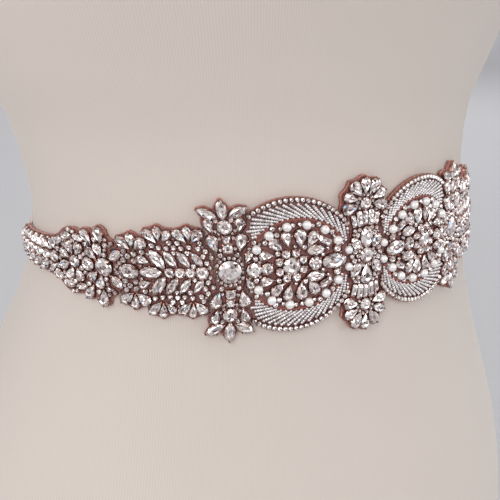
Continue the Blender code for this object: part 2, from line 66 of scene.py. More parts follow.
Socket = bpy.types.NodeSocket


class Cut(Enum):
    """The outlines that stones, pearls and bead rows are cut to."""

    ROUND = "round"
    OVAL = "oval"
    DROP = "drop"
    LEAF = "leaf"
    BAR = "bar"
    PEARL = "pearl"
    ROW = "row"


class Side(Enum):
    """The wearer's sides, with the sign of X on each."""

    LEFT = 1
    RIGHT = -1

    @property
    def word(self) -> str:
        """The side's name as the pieces carry it."""
        return self.name.lower()


HEIGHTS = {
    Cut.ROUND: 2.4,
    Cut.OVAL: 2.7,
    Cut.DROP: 2.3,
    Cut.LEAF: 2.2,
    Cut.BAR: 1.9,
    Cut.PEARL: 3.2,
    Cut.ROW: 1.4,
}


# Curves and grids


def eased(knots: Array, values: Array, at: Array) -> Array:
    """Cubic curve through the values, each knot's slope taken from its two neighbours.

    Args:
        knots: Places of the values, rising.
        values: The values to pass through.
        at: Places to read.

    Returns:
        The curve at each place.
    """
    slopes = np.gradient(values, knots)
    at = np.clip(at, knots[0], knots[-1])
    i = np.clip(np.searchsorted(knots, at, side="right") - 1, 0, len(knots) - 2)
    step = knots[i + 1] - knots[i]
    x = (at - knots[i]) / step
    return (
        (2 * x**3 - 3 * x**2 + 1) * values[i]
        + (x**3 - 2 * x**2 + x) * step * slopes[i]
        + (3 * x**2 - 2 * x**3) * values[i + 1]
        + (x**3 - x**2) * step * slopes[i + 1]
    )


def smoothed(share: Array, height: float) -> Array:
    """A rise from 0 to a height that starts and ends level: height x share^2 x (3 - 2 share)."""
    return height * share * share * (3 - 2 * share)


def linked(name: str, data: bpy.types.ID) -> bpy.types.Object:
    """An object with that data, linked to the scene."""
    made = bpy.data.objects.new(name, data)
    bpy.context.scene.collection.objects.link(made)
    return made


def tube_faces(rows: int, columns: int, closed: bool) -> Array:
    """Quads of a grid whose columns close into a ring.

    Args:
        rows: Number of rings.
        columns: Points in each ring.
        closed: Whether the last ring joins the first.

    Returns:
        Corner numbers, four to a face.
    """
    i = np.arange(rows if closed else rows - 1)[:, None]
    j = np.arange(columns)[None, :]
    after, beside = (i + 1) % rows, (j + 1) % columns
    quads = [i * columns + j, i * columns + beside, after * columns + beside, after * columns + j]
    return np.stack(np.broadcast_arrays(*quads), -1).reshape(-1, 4)


@dataclass
class MeshParts:
    """Points and faces gathered for one mesh, with a number from 0 to 1 on each face."""

    points: list[Array] = field(default_factory=list)
    faces: list[Array] = field(default_factory=list)
    tones: list[Array] = field(default_factory=list)
    count: int = 0

    def add(self, points: Array, faces: Array, tones: Array | None = None) -> None:
        """Adds one lump of points and faces.

        Args:
            points: Places in metres, three to a point.
            faces: Corner numbers within those points, three or four to a face.
            tones: One number for each face, or None for 0.5.
        """
        self.points.append(points.reshape(-1, 3))
        self.faces.append(faces + self.count)
        self.tones.append(np.full(len(faces), 0.5) if tones is None else tones)
        self.count += len(self.points[-1])

    def more(self, faces: Array) -> None:
        """Adds faces on points that are already there, numbered from the first of all."""
        self.faces.append(faces)
        self.tones.append(np.full(len(faces), 0.5))

    def copies(
        self, points: Array, faces: Array, tones: Array | None = None, ends: Array | None = None
    ) -> None:
        """Adds the same faces once for each of several sets of points.

        Args:
            points: Places, as copies by points by three.
            faces: Corner numbers of one copy.
            tones: Numbers, as copies by faces, or None.
            ends: Further faces of one copy, with another count of corners, or None.
        """
        number, size = points.shape[:2]
        first = (np.arange(number) * size)[:, None, None]
        earlier = self.count
        lifted = (faces[None] + first).reshape(-1, faces.shape[1])
        self.add(points, lifted, None if tones is None else tones.ravel())
        if ends is not None:
            self.more((ends[None] + first + earlier).reshape(-1, ends.shape[1]))

    def build(
        self, name: str, look: Material, smooth: bool, cut: Array | None = None
    ) -> bpy.types.Object:
        """Makes the object.

        Args:
            name: The piece's name.
            look: Its material.
            smooth: Whether its faces are shaded smooth.
            cut: Places on the flat cut for each point, for the UV map, or None.

        Returns:
            The object, at the origin and riding on the body.
        """
        points = np.concatenate(self.points)
        sizes = np.concatenate([np.full(len(f), f.shape[1]) for f in self.faces])
        corners = np.concatenate([f.ravel() for f in self.faces]).astype(np.int32)
        mesh = bpy.data.meshes.new(name)
        mesh.vertices.add(len(points))
        mesh.vertices.foreach_set("co", points.astype(np.float32).ravel())
        mesh.loops.add(len(corners))
        mesh.loops.foreach_set("vertex_index", corners)
        mesh.polygons.add(len(sizes))
        starts = np.concatenate([[0], np.cumsum(sizes)[:-1]]).astype(np.int32)
        mesh.polygons.foreach_set("loop_start", starts)
        mesh.polygons.foreach_set("use_smooth", np.full(len(sizes), smooth))
        tone = mesh.attributes.new("tone", "FLOAT", "FACE")
        tone.data.foreach_set("value", np.concatenate(self.tones).astype(np.float32))
        if cut is not None:
            layer = mesh.uv_layers.new(name="cut")
            layer.data.foreach_set("uv", cut[corners].astype(np.float32).ravel())
        mesh.update(calc_edges=True)
        mesh.validate()
        mesh.materials.append(look)
        made = linked(name, mesh)
        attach(made, "root")
        LOG.info("%s: %d points, %d faces", name, len(points), len(sizes))
        return made


# The form, and how the band wraps it


@dataclass(frozen=True)
class FormShape:
    """Level sections of the form: height over the waist, half width, half depth, centre's y."""

    waist: float = 0.240
    rows: tuple[tuple[float, float, float, float], ...] = (
        (-0.2400, 0.1560, 0.1150, 0.0120),
        (-0.1900, 0.1640, 0.1205, 0.0175),
        (-0.1500, 0.1610, 0.1195, 0.0185),
        (-0.1100, 0.1513, 0.1160, 0.0200),
        (-0.0800, 0.1387, 0.1077, 0.0160),
        (-0.0500, 0.1266, 0.0983, 0.0100),
        (-0.0250, 0.1175, 0.0913, 0.0042),
        (0.0000, 0.1120, 0.0870, 0.0000),
        (0.0250, 0.1119, 0.0869, 0.0016),
        (0.0500, 0.1170, 0.0909, 0.0048),
        (0.0800, 0.1290, 0.1000, 0.0050),
        (0.1100, 0.1375, 0.1085, 0.0000),
        (0.1450, 0.1420, 0.1190, -0.0085),
        (0.1800, 0.1440, 0.1240, -0.0140),
        (0.2150, 0.1450, 0.1160, -0.0090),
        (0.2550, 0.1480, 0.0980, 0.0020),
        (0.2900, 0.1530, 0.0830, 0.0080),
        (0.3150, 0.1500, 0.0720, 0.0105),
        (0.3350, 0.1290, 0.0630, 0.0115),
        (0.3520, 0.0920, 0.0550, 0.0110),
        (0.3680, 0.0660, 0.0490, 0.0095),
        (0.3900, 0.0545, 0.0460, 0.0070),
        (0.4300, 0.0520, 0.0455, 0.0040),
    )

    def section(self, height: Array | float) -> list[Array]:
        """Half width, half depth and centre at a height, each on a smooth curve through the rows.

        Args:
            height: Metres over the waist.

        Returns:
            Three arrays.
        """
        table = np.array(self.rows).T
        return [eased(table[0], table[k], height) for k in (1, 2, 3)]

    def point(self, turn: Array, height: Array, out: Array | float) -> Array:
        """A point over the form: an ellipse at each height, moved out along the surface normal.

        Args:
            turn: Angle from the front towards the wearer's left.
            height: Metres over the waist.
            out: Metres off the skin.

        Returns:
            Places in metres.
        """
        turn = np.asarray(turn, float)
        height = np.asarray(height, float) + 0 * turn
        half_width, half_depth, centre = self.section(height)
        step = 1e-4
        after, before = self.section(height + step), self.section(height - step)
        slope = [(a - b) / (2 * step) for a, b in zip(after, before)]
        sine, cosine = np.sin(turn), np.cos(turn)
        place = np.stack([half_width * sine, centre - half_depth * cosine, self.waist + height], -1)
        round_way = np.stack([half_width * cosine, half_depth * sine, 0 * turn], -1)
        up_way = np.stack([slope[0] * sine, slope[2] - slope[1] * cosine, 1 + 0 * turn], -1)
        normal = np.cross(round_way, up_way)
        normal /= np.linalg.norm(normal, axis=-1, keepdims=True)
        return place + normal * np.asarray(out)[..., None]


@dataclass
class Wrap:
    """Carries the flat drawing on to the form, a little off its skin."""

    form: FormShape
    clearance: float = 0.0007
    splay: float = 1.48
    band_end: float = 184.0
    shift: float = -2.0
    steps: int = 4000
    line_from: tuple[float, ...] = (0, 35, 60, 83, 101, 113, 127, 150, 184, 250, 316)
    line_height: tuple[float, ...] = (-0.5, -0.3, -0.9, -1.1, -1.3, -0.8, -0.5, -1.2, -1.4, -0.6, 0)

    def __post_init__(self) -> None:
        """Measures the waistline, an ellipse, at equal turns from its middle."""
        self.turns = np.linspace(-math.pi, math.pi, self.steps + 1)
        half_width, half_depth, _ = self.form.section(0.0)
        x, y = half_width * np.sin(self.turns), half_depth * np.cos(self.turns)
        along = np.concatenate([[0], np.cumsum(np.hypot(np.diff(x), np.diff(y)))])
        self.along = along - along[self.steps // 2]
        self.half_girth = self.along[-1] / MM

    def line(self, s: Array) -> Array:
        """Height of the band's middle line at a distance from the middle.

        Args:
            s: Millimetres from the middle, either way.

        Returns:
            Millimetres over the waist.
        """
        return eased(np.array(self.line_from, float), np.array(self.line_height), np.abs(s))

    def ring(self, s: Array, t: Array, h: Array | float) -> Array:
        """A point s round the waistline, t over it and h off the form, all in millimetres.

        Args:
            s: Distance round.
            t: Distance up.
            h: Distance out.

        Returns:
            Places in metres.
        """
        within = (s + self.half_girth) % (2 * self.half_girth) - self.half_girth
        turn = np.interp(within * MM, self.along, self.turns)
        return self.form.point(turn, t * MM, self.clearance + np.asarray(h, float) * MM)

    def band(self, s: Array, t: Array, h: Array | float) -> Array:
        """The same for the band: its length grows with height, by splay, as it is wrapped.

        Args:
            s: Distance from the band's middle, positive to the wearer's left.
            t: Distance over its middle line.
            h: Distance out.

        Returns:
            Places in metres.
        """
        t = t + self.line(s)
        reach = self.half_girth - self.band_end
        fade = np.clip((self.half_girth - np.abs(s)) / reach, 0, 1)
        return self.ring((s + self.shift) * (1 + self.splay * t * MM * fade), t, h)

    def seats(self, at: Array, lift: float) -> tuple[Array, Array, Array, Array]:
        """A flat seat for each stone: where it is, and the ways along, up and out there.

        Args:
            at: Places on the drawing, two to a stone.
            lift: Millimetres off the form.

        Returns:
            Points, and three ways in metres for each millimetre.
        """
        s, t = at[:, 0], at[:, 1]
        along = self.band(s + 0.5, t, lift) - self.band(s - 0.5, t, lift)
        up = self.band(s, t + 0.5, lift) - self.band(s, t - 0.5, lift)
        out = np.cross(along, up)
        out *= MM / np.linalg.norm(out, axis=-1, keepdims=True)
        return self.band(s, t, lift), along, up, out


# Stones on the drawing


@dataclass(frozen=True)
class Stone:
    """One set piece: its cut, middle, length, width, and the way its length or point faces."""

    cut: Cut
    u: float
    t: float
    length: float
    width: float
    turn: float = 0.0

    def outline(self, grow: float = 0.0) -> Array:
        """Corners of its plan, counter-clockwise.

        Args:
            grow: Millimetres added all round.

        Returns:
            Two numbers to a corner.
        """
        half_long, half_wide = self.length / 2 + grow, self.width / 2 + grow
        if self.cut in (Cut.BAR, Cut.ROW):
            corners = [(half_long, half_wide), (-half_long, half_wide)]
            corners += [(-x, -y) for x, y in corners]
        elif self.cut is Cut.LEAF:
            edge = [(0.36 * half_long, 0.88 * half_wide), (-0.36 * half_long, 0.88 * half_wide)]
            corners = [(half_long, 0), *edge, (-half_long, 0)] + [(-x, -y) for x, y in edge]
        elif self.cut is Cut.DROP:
            turns = np.radians(np.linspace(72, 288, 5))
            middle = half_wide - half_long
            round_end = [(middle + half_wide * math.cos(a), half_wide * math.sin(a)) for a in turns]
            corners = [(half_long, 0), *round_end]
        else:
            sides = 6 if self.width < 4.5 else 8
            turns = (np.arange(sides) + 0.5) * 2 * math.pi / sides
            corners = [(half_long * math.cos(a), half_wide * math.sin(a)) for a in turns]
        a = math.radians(self.turn)
        way = np.array([[math.cos(a), math.sin(a)], [-math.sin(a), math.cos(a)]])
        return np.array(corners) @ way + (self.u, self.t)


def stone(cut: Cut, u: float, t: float, length: float, width: float = 0, turn: float = 0) -> Stone:
    """A stone, as wide as long where no width is given."""
    return Stone(cut, float(u), float(t), length, width or length, turn)


def both(found: list[Stone]) -> list[Stone]:
    """The stones and their images below the middle line."""
    return found + [replace(p, t=-p.t, turn=-p.turn) for p in found]


def pair(cut: Cut, *numbers: float) -> list[Stone]:
    """A stone, its numbers in stone()'s order, and its image below the middle line."""
    return both([stone(cut, *numbers)])


def rounds(spots: list[tuple[float, ...]], middle: float = 0.0, side: int = 1) -> list[Stone]:
    """Rounds from distance out, height and size, with their images below the middle line."""
    return both([stone(Cut.ROUND, middle + u * side, t, size) for u, t, size in spots])


def on_oval(middle: float, angle: float, across: float, up: float) -> tuple[float, float]:
    """The spot at an angle on an ellipse about a place on the middle line."""
    a = math.radians(angle)
    return middle + across * math.cos(a), up * math.sin(a)


def petals(
    middle: float, angles: Sequence[float], across: float, up: float, length: float, width: float
) -> list[Stone]:
    """Drops on an ellipse, above and below the middle line, with their points inwards.

    Args:
        middle: The ellipse's centre, on the middle line.
        angles: Angle of each upper drop.
        across: Half width of the ellipse.
        up: Half height of the ellipse.
        length: Length of each drop.
        width: Width of each drop.

    Returns:
        The drops.
    """
    found = []
    for angle in angles:
        found += pair(Cut.DROP, *on_oval(middle, angle, across, up), length, width, angle + 180)
    return found


def mirrored(found: list[Stone]) -> list[Stone]:
    """The stones' images on the wearer's other side."""
    return [replace(p, u=-p.u, turn=180 - p.turn) for p in found]


def fan(
    u: float, t: float, facings: tuple[float, ...], length: float, width: float, reach: float
) -> list[Stone]:
    """Drops round a place, their points towards it: middle = place + (reach + length / 2) outwards.

    Args:
        u: The place along.
        t: The place up.
        facings: Angle of each drop from the place.
        length: Length of each.
        width: Width of each.
        reach: Distance from the place to their points.

    Returns:
        The drops.
    """
    away = reach + length / 2
    ways = [(math.cos(math.radians(f)), math.sin(math.radians(f)), f) for f in facings]
    return [stone(Cut.DROP, u + away * c, t + away * s, length, width, f + 180) for c, s, f in ways]


def ring_of(u: float, count: int, reach: float, size: float, start: float) -> list[Stone]:
    """Equal rounds on a circle about a place on the middle line.

    Args:
        u: The place along.
        count: Number of rounds.
        reach: Radius of the circle.
        size: Diameter of each.
        start: Angle of the first.

    Returns:
        The rounds.
    """
    turns = np.radians(start) + np.arange(count) * 2 * math.pi / count
    return [stone(Cut.ROUND, u + reach * math.cos(a), reach * math.sin(a), size) for a in turns]


def inside(points: Array, polygon: Array) -> Array:
    """Which points lie in a polygon, by counting the edges to their right.

    Args:
        points: Places to test.
        polygon: Its corners.

    Returns:
        True where a point is inside.
    """
    x, y = points[:, 0][:, None], points[:, 1][:, None]
    x1, y1 = polygon[:, 0], polygon[:, 1]
    x2, y2 = np.roll(x1, -1), np.roll(y1, -1)
    rise = np.where(y2 == y1, 1e-12, y2 - y1)
    return (((y1 > y) != (y2 > y)) & (x < (x2 - x1) * (y - y1) / rise + x1)).sum(1) % 2 == 1


def edge_distance(points: Array, loop: Array) -> Array:
    """Least distance of each point from a loop's edges.

    Args:
        points: Places to test.
        loop: Corners of the loop.

    Returns:
        A distance for each point.
    """
    along = np.roll(loop, -1, 0) - loop
    away = points[:, None] - loop
    share = np.clip((away * along).sum(-1) / (along**2).sum(-1), 0, 1)
    return np.linalg.norm(away - share[..., None] * along, axis=-1).min(1)


def well_inside(points: Array, loop: Array, margin: float) -> Array:
    """Which points lie in a loop and further than a margin from its edges."""
    return inside(points, loop) & (edge_distance(points, loop) > margin)


def gap_between(a: Array, b: Array) -> float:
    """Least distance between two outlines, or -1 where they overlap."""
    if inside(a, b).any() or inside(b, a).any():
        return -1.0
    return float(min(edge_distance(a, b).min(), edge_distance(b, a).min()))


def settle(
    found: list[Stone],
    around: Sequence[Stone] = (),
    room: float = 0.35,
    shares: tuple[float, ...] = (1.0, 0.92, 0.84, 0.76),
) -> list[Stone]:
    """Seats the stones in order. One too near another is made smaller, or left out.

    Args:
        found: Stones to seat.
        around: Stones already there.
        room: Least space between two.
        shares: Sizes to try, as parts of the full size.

    Returns:
        The seated stones.
    """
    seated: list[Stone] = []
    taken = [(p, p.outline()) for p in around]
    for piece in found:
        for share in shares:
            trial = replace(piece, length=piece.length * share, width=piece.width * share)
            shape = trial.outline()
            near = [
                other
                for p, other in taken
                if math.hypot(p.u - trial.u, p.t - trial.t) < (p.length + trial.length) / 2 + 2
            ]
            if all(gap_between(shape, other) >= room for other in near):
                seated.append(trial)
                taken.append((trial, shape))
                break
    return seated


def fuller(panels: tuple["Panel", ...], room: float = 0.1) -> None:
    """Lets every large stone but the pearls grow, as far as it stays clear of all the others.

    Args:
        panels: The panels whose stones grow.
        room: Least space between two stones.
    """
    found = [p for panel in panels for p in panel.large]
    shapes = [p.outline() for p in found]
    middles = np.array([(p.u, p.t) for p in found])
    reach = 14
    for i, piece in enumerate(found):
        if piece.cut is Cut.PEARL:
            continue
        near = np.flatnonzero(np.hypot(*(middles - middles[i]).T) < reach)
        for grow in (0.9, 0.7, 0.5, 0.3, 0.15):
            trial = replace(piece, length=piece.length + grow, width=piece.width + grow)
            shape = trial.outline()
            if all(gap_between(shape, shapes[j]) >= room for j in near if j != i):
                found[i], shapes[i] = trial, shape
                break
    for panel in panels:
        panel.large, found = found[: len(panel.large)], found[len(panel.large) :]


def clipped(
    rows: list[Stone], loop: Array, seated: list[Stone], shortest: float = 1.3
) -> list[Stone]:
    """Cuts each row to the stretches that lie on the panel and clear of every stone.

    Args:
        rows: Rows of beads.
        loop: The panel's cut edge.
        seated: Stones already there.
        shortest: Least length of a stretch.

    Returns:
        Every stretch that is long enough, as a row of its own.
    """
    found = []
    shapes = [(p, p.outline(0.45)) for p in seated]
    for row in rows:
        way = np.array([math.cos(math.radians(row.turn)), math.sin(math.radians(row.turn))])
        steps = np.linspace(-0.5, 0.5, 61) * row.length
        spots = np.array([row.u, row.t]) + steps[:, None] * way
        free = well_inside(spots, loop, 0.75)
        for piece, shape in shapes:
            if math.hypot(piece.u - row.u, piece.t - row.t) < (piece.length + row.length) / 2 + 1:
                free &= ~inside(spots, shape)
        turns = np.flatnonzero(np.diff(np.concatenate([[0], free.astype(int), [0]])))
        for first, last in turns.reshape(-1, 2):
            length = steps[last - 1] - steps[first]
            if length >= shortest:
                middle = spots[[first, last - 1]].mean(0)
                found.append(replace(row, u=middle[0], t=middle[1], length=float(length)))
    return found


def grid(loop: Array, step: float, start: float = 0.0) -> Array:
    """Points of a square grid over a loop's box, from its lower corner and a start."""
    lines = [np.arange(a + start, b, step) for a, b in zip(loop.min(0), loop.max(0))]
    return np.stack(np.meshgrid(*lines), -1).reshape(-1, 2)


def fillers(
    loop: Array,
    seated: list[Stone],
    least: float,
    seams: Sequence[Array] = (),
    most: float = 1.25,
) -> list[Stone]:
    """Small rounds in the largest spaces left: the freest spot first, until none is free enough.

    Args:
        loop: The panel's cut edge.
        seated: Stones already there.
        least: Least free radius that takes a round.
        seams: Neighbours' edges. Where given, only spots beside them are filled.
        most: Largest radius of a round.

    Returns:
        The rounds.
    """
    spots = grid(loop, 0.3)
    spots = spots[inside(spots, loop)]
    if seams:
        spots = spots[np.min([edge_distance(spots, line) for line in seams], 0) < 3.4]
    free = edge_distance(spots, loop) - 0.3
    for piece in seated:
        near = np.hypot(spots[:, 0] - piece.u, spots[:, 1] - piece.t) < piece.length / 2 + 4
        if near.any():
            shape = piece.outline()
            away = edge_distance(spots[near], shape)
            free[near] = np.minimum(free[near], np.where(inside(spots[near], shape), -1, away))
    found = []
    while len(spots) and free.max() >= least:
        i = int(free.argmax())
        radius = min(float(free[i]) - 0.12, most)
        found.append(stone(Cut.ROUND, spots[i, 0], spots[i, 1], 2 * radius))
        free = np.minimum(free, np.hypot(*(spots - spots[i]).T) - radius)
    return found


# Cutting a panel


def triangulate(loops: list[Array], loose: Array) -> tuple[Array, Array]:
    """Delaunay triangles that keep every edge of the loops.

    Args:
        loops: Closed loops of corners.
        loose: Further points.

    Returns:
        Points, and three corner numbers to a triangle.
    """
    points = np.concatenate([*loops, loose]) if len(loose) else np.concatenate(loops)
    edges, first = [], 0
    for loop in loops:
        ids = np.arange(len(loop))
        edges += np.stack([first + ids, first + (ids + 1) % len(loop)], -1).tolist()
        first += len(loop)
    found = delaunay_2d_cdt([Vector(p) for p in points.tolist()], edges, [], 0, 1e-6)
    return np.array([tuple(p) for p in found[0]]), np.array(found[2])


def area(loop: Array) -> float:
    """Signed area of a loop: half the sum of its corners' cross products."""
    x, y = loop[:, 0], loop[:, 1]
    return float(0.5 * (x * np.roll(y, -1) - np.roll(x, -1) * y).sum())


def open_edges(faces: Array) -> list[tuple[int, int]]:
    """The edges that only one triangle has, each as its two corner numbers."""
    ways = np.concatenate([faces[:, [0, 1]], faces[:, [1, 2]], faces[:, [2, 0]]])
    known = {(a, b) for a, b in ways.tolist()}
    return [(a, b) for a, b in known if (b, a) not in known]


def borders(points: Array, faces: Array) -> list[Array]:
    """Border loops of a patch of triangles: its open edges, end to end.

    Args:
        points: The patch's points.
        faces: Its triangles.

    Returns:
        One array of corners for each loop.
    """
    onward: dict[int, list[int]] = {}
    for a, b in open_edges(faces):
        onward.setdefault(a, []).append(b)
    found = []
    while onward:
        start = here = next(iter(onward))
        loop = []
        while here in onward:
            loop.append(here)
            after = onward[here].pop()
            if not onward[here]:
                del onward[here]
            here = after
            if here == start:
                break
        found.append(points[loop])
    return found


def joined(kept: list[Array], lost: list[Array]) -> Array:
    """The border of some patches taken together, less what lies over others.

    Args:
        kept: Patches to join.
        lost: Patches to take away.

    Returns:
        The longest border, as corners.
    """
    points, faces = triangulate([*kept, *lost], np.zeros((0, 2)))
    middles = points[faces].mean(1)
    held = np.any([inside(middles, p) for p in kept], 0)
    for polygon in lost:
        held &= ~inside(middles, polygon)
    return max(borders(points, faces[held]), key=area)


def tidy_loop(loop: Array, shortest: float, flattest: float, sharpest: float) -> Array:
    """The loop without its very short edges, nearly straight corners and narrow spikes.

    Args:
        loop: Corners to tidy.
        shortest: Least length of an edge.
        flattest: Least height of a corner over the line through its neighbours.
        sharpest: Least angle at a corner, in degrees.

    Returns:
        The corners kept.
    """
    fewest = 8
    changed = True
    while changed and len(loop) > fewest:
        changed = False
        sides = np.hypot(*(np.roll(loop, -1, 0) - loop).T)
        i = int(sides.argmin())
        if sides[i] < shortest:
            j = (i + 1) % len(loop)
            loop[i] = (loop[i] + loop[j]) / 2
            loop = np.delete(loop, j, 0)
            changed = True
            continue
        before, after = np.roll(loop, 1, 0), np.roll(loop, -1, 0)
        base, out = after - before, loop - before
        bump = np.abs(base[:, 0] * out[:, 1] - base[:, 1] * out[:, 0]) / np.hypot(*base.T)
        i = int(bump.argmin())
        if bump[i] < flattest:
            loop = np.delete(loop, i, 0)
            changed = True
            continue
        back, on = before - loop, after - loop
        cosine = (back * on).sum(-1) / (np.hypot(*back.T) * np.hypot(*on.T))
        i = int(cosine.argmax())
        if cosine[i] > math.cos(math.radians(sharpest)):
            loop = np.delete(loop, i, 0)
            changed = True
    return loop


def normals(ahead: Array) -> Array:
    """Unit ways to the right of each given way."""
    ahead = ahead / np.hypot(*ahead.T)[:, None]
    return np.stack([ahead[:, 1], -ahead[:, 0]], -1)


def moved_out(loop: Array, by: float) -> Array:
    """A loop with its edges moved out along the mean of each corner's two edge normals.

    Args:
        loop: Corners, counter-clockwise.
        by: Millimetres, or a negative number to move in.

    Returns:
        The moved corners.
    """
    normal = normals(np.roll(loop, -1, 0) - loop)
    earlier = np.roll(normal, 1, 0)
    sharpness = np.maximum(1 + (normal * earlier).sum(-1), 0.5)[:, None]
    return loop + by * (normal + earlier) / sharpness


def spaced(loop: Array, step: float) -> Array:
    """Points at equal spacing along a closed loop.

    Args:
        loop: Its corners.
        step: Spacing wanted, in millimetres.

    Returns:
        The points, two numbers to each.
    """
    ring = np.concatenate([loop, loop[:1]])
    along = np.concatenate([[0], np.cumsum(np.hypot(*np.diff(ring, axis=0).T))])
    count = round(along[-1] / step)
    at = np.arange(count) * along[-1] / count
    return np.stack([np.interp(at, along, ring[:, k]) for k in (0, 1)], -1)


def oval(u: float, t: float, half_u: float, half_t: float, sides: int = 28) -> Array:
    """Corners of an ellipse on the drawing."""
    a = np.arange(sides) * 2 * math.pi / sides
    return np.stack([u + half_u * np.cos(a), t + half_t * np.sin(a)], -1)


def box(u0: float, u1: float, t0: float, t1: float) -> Array:
    """Corners of an upright rectangle on the drawing."""
    return np.array([(u0, t0), (u1, t0), (u1, t1), (u0, t1)], float)


@dataclass
class Panel:
    """One cut panel: its large stones, small stones, bead rows, fine chains and cut edge."""

    name: str
    large: list[Stone]
    ground: list[Array]
    small: list[Stone] = field(default_factory=list)
    rows: list[Stone] = field(default_factory=list)
    chains: list[Array] = field(default_factory=list)
    loop: Array = field(default_factory=lambda: np.zeros((0, 2)))
    beside: list[Array] = field(default_factory=list)

    def cut(self, beside: list["Panel"], pad: float = 1.0, seam: float = 0.5) -> None:
        """Draws the cut edge: the ground and a pad round each stone, less the panels beside it.

        Args:
            beside: Panels that keep their own edge.
            pad: Cloth left round each stone.
            seam: Space left beside a neighbour.
        """
        pads = [p.outline(pad) for p in self.large]
        loop = tidy_loop(joined(self.ground + pads, []), 1.5, 0.2, 38)
        if beside:
            loop = joined([loop], [moved_out(p.loop, seam) for p in beside])
            loop = tidy_loop(loop, 0.3, 0.03, 20)
        self.loop = loop

    def other_side(self, name: str) -> "Panel":
        """The same panel for the wearer's right."""
        flip = (-1.0, 1.0)
        return Panel(
            name,
            mirrored(self.large),
            [],
            mirrored(self.small),
            mirrored(self.rows),
            [c * flip for c in self.chains],
            self.loop[::-1] * flip,
            [loop * flip for loop in self.beside],
        )


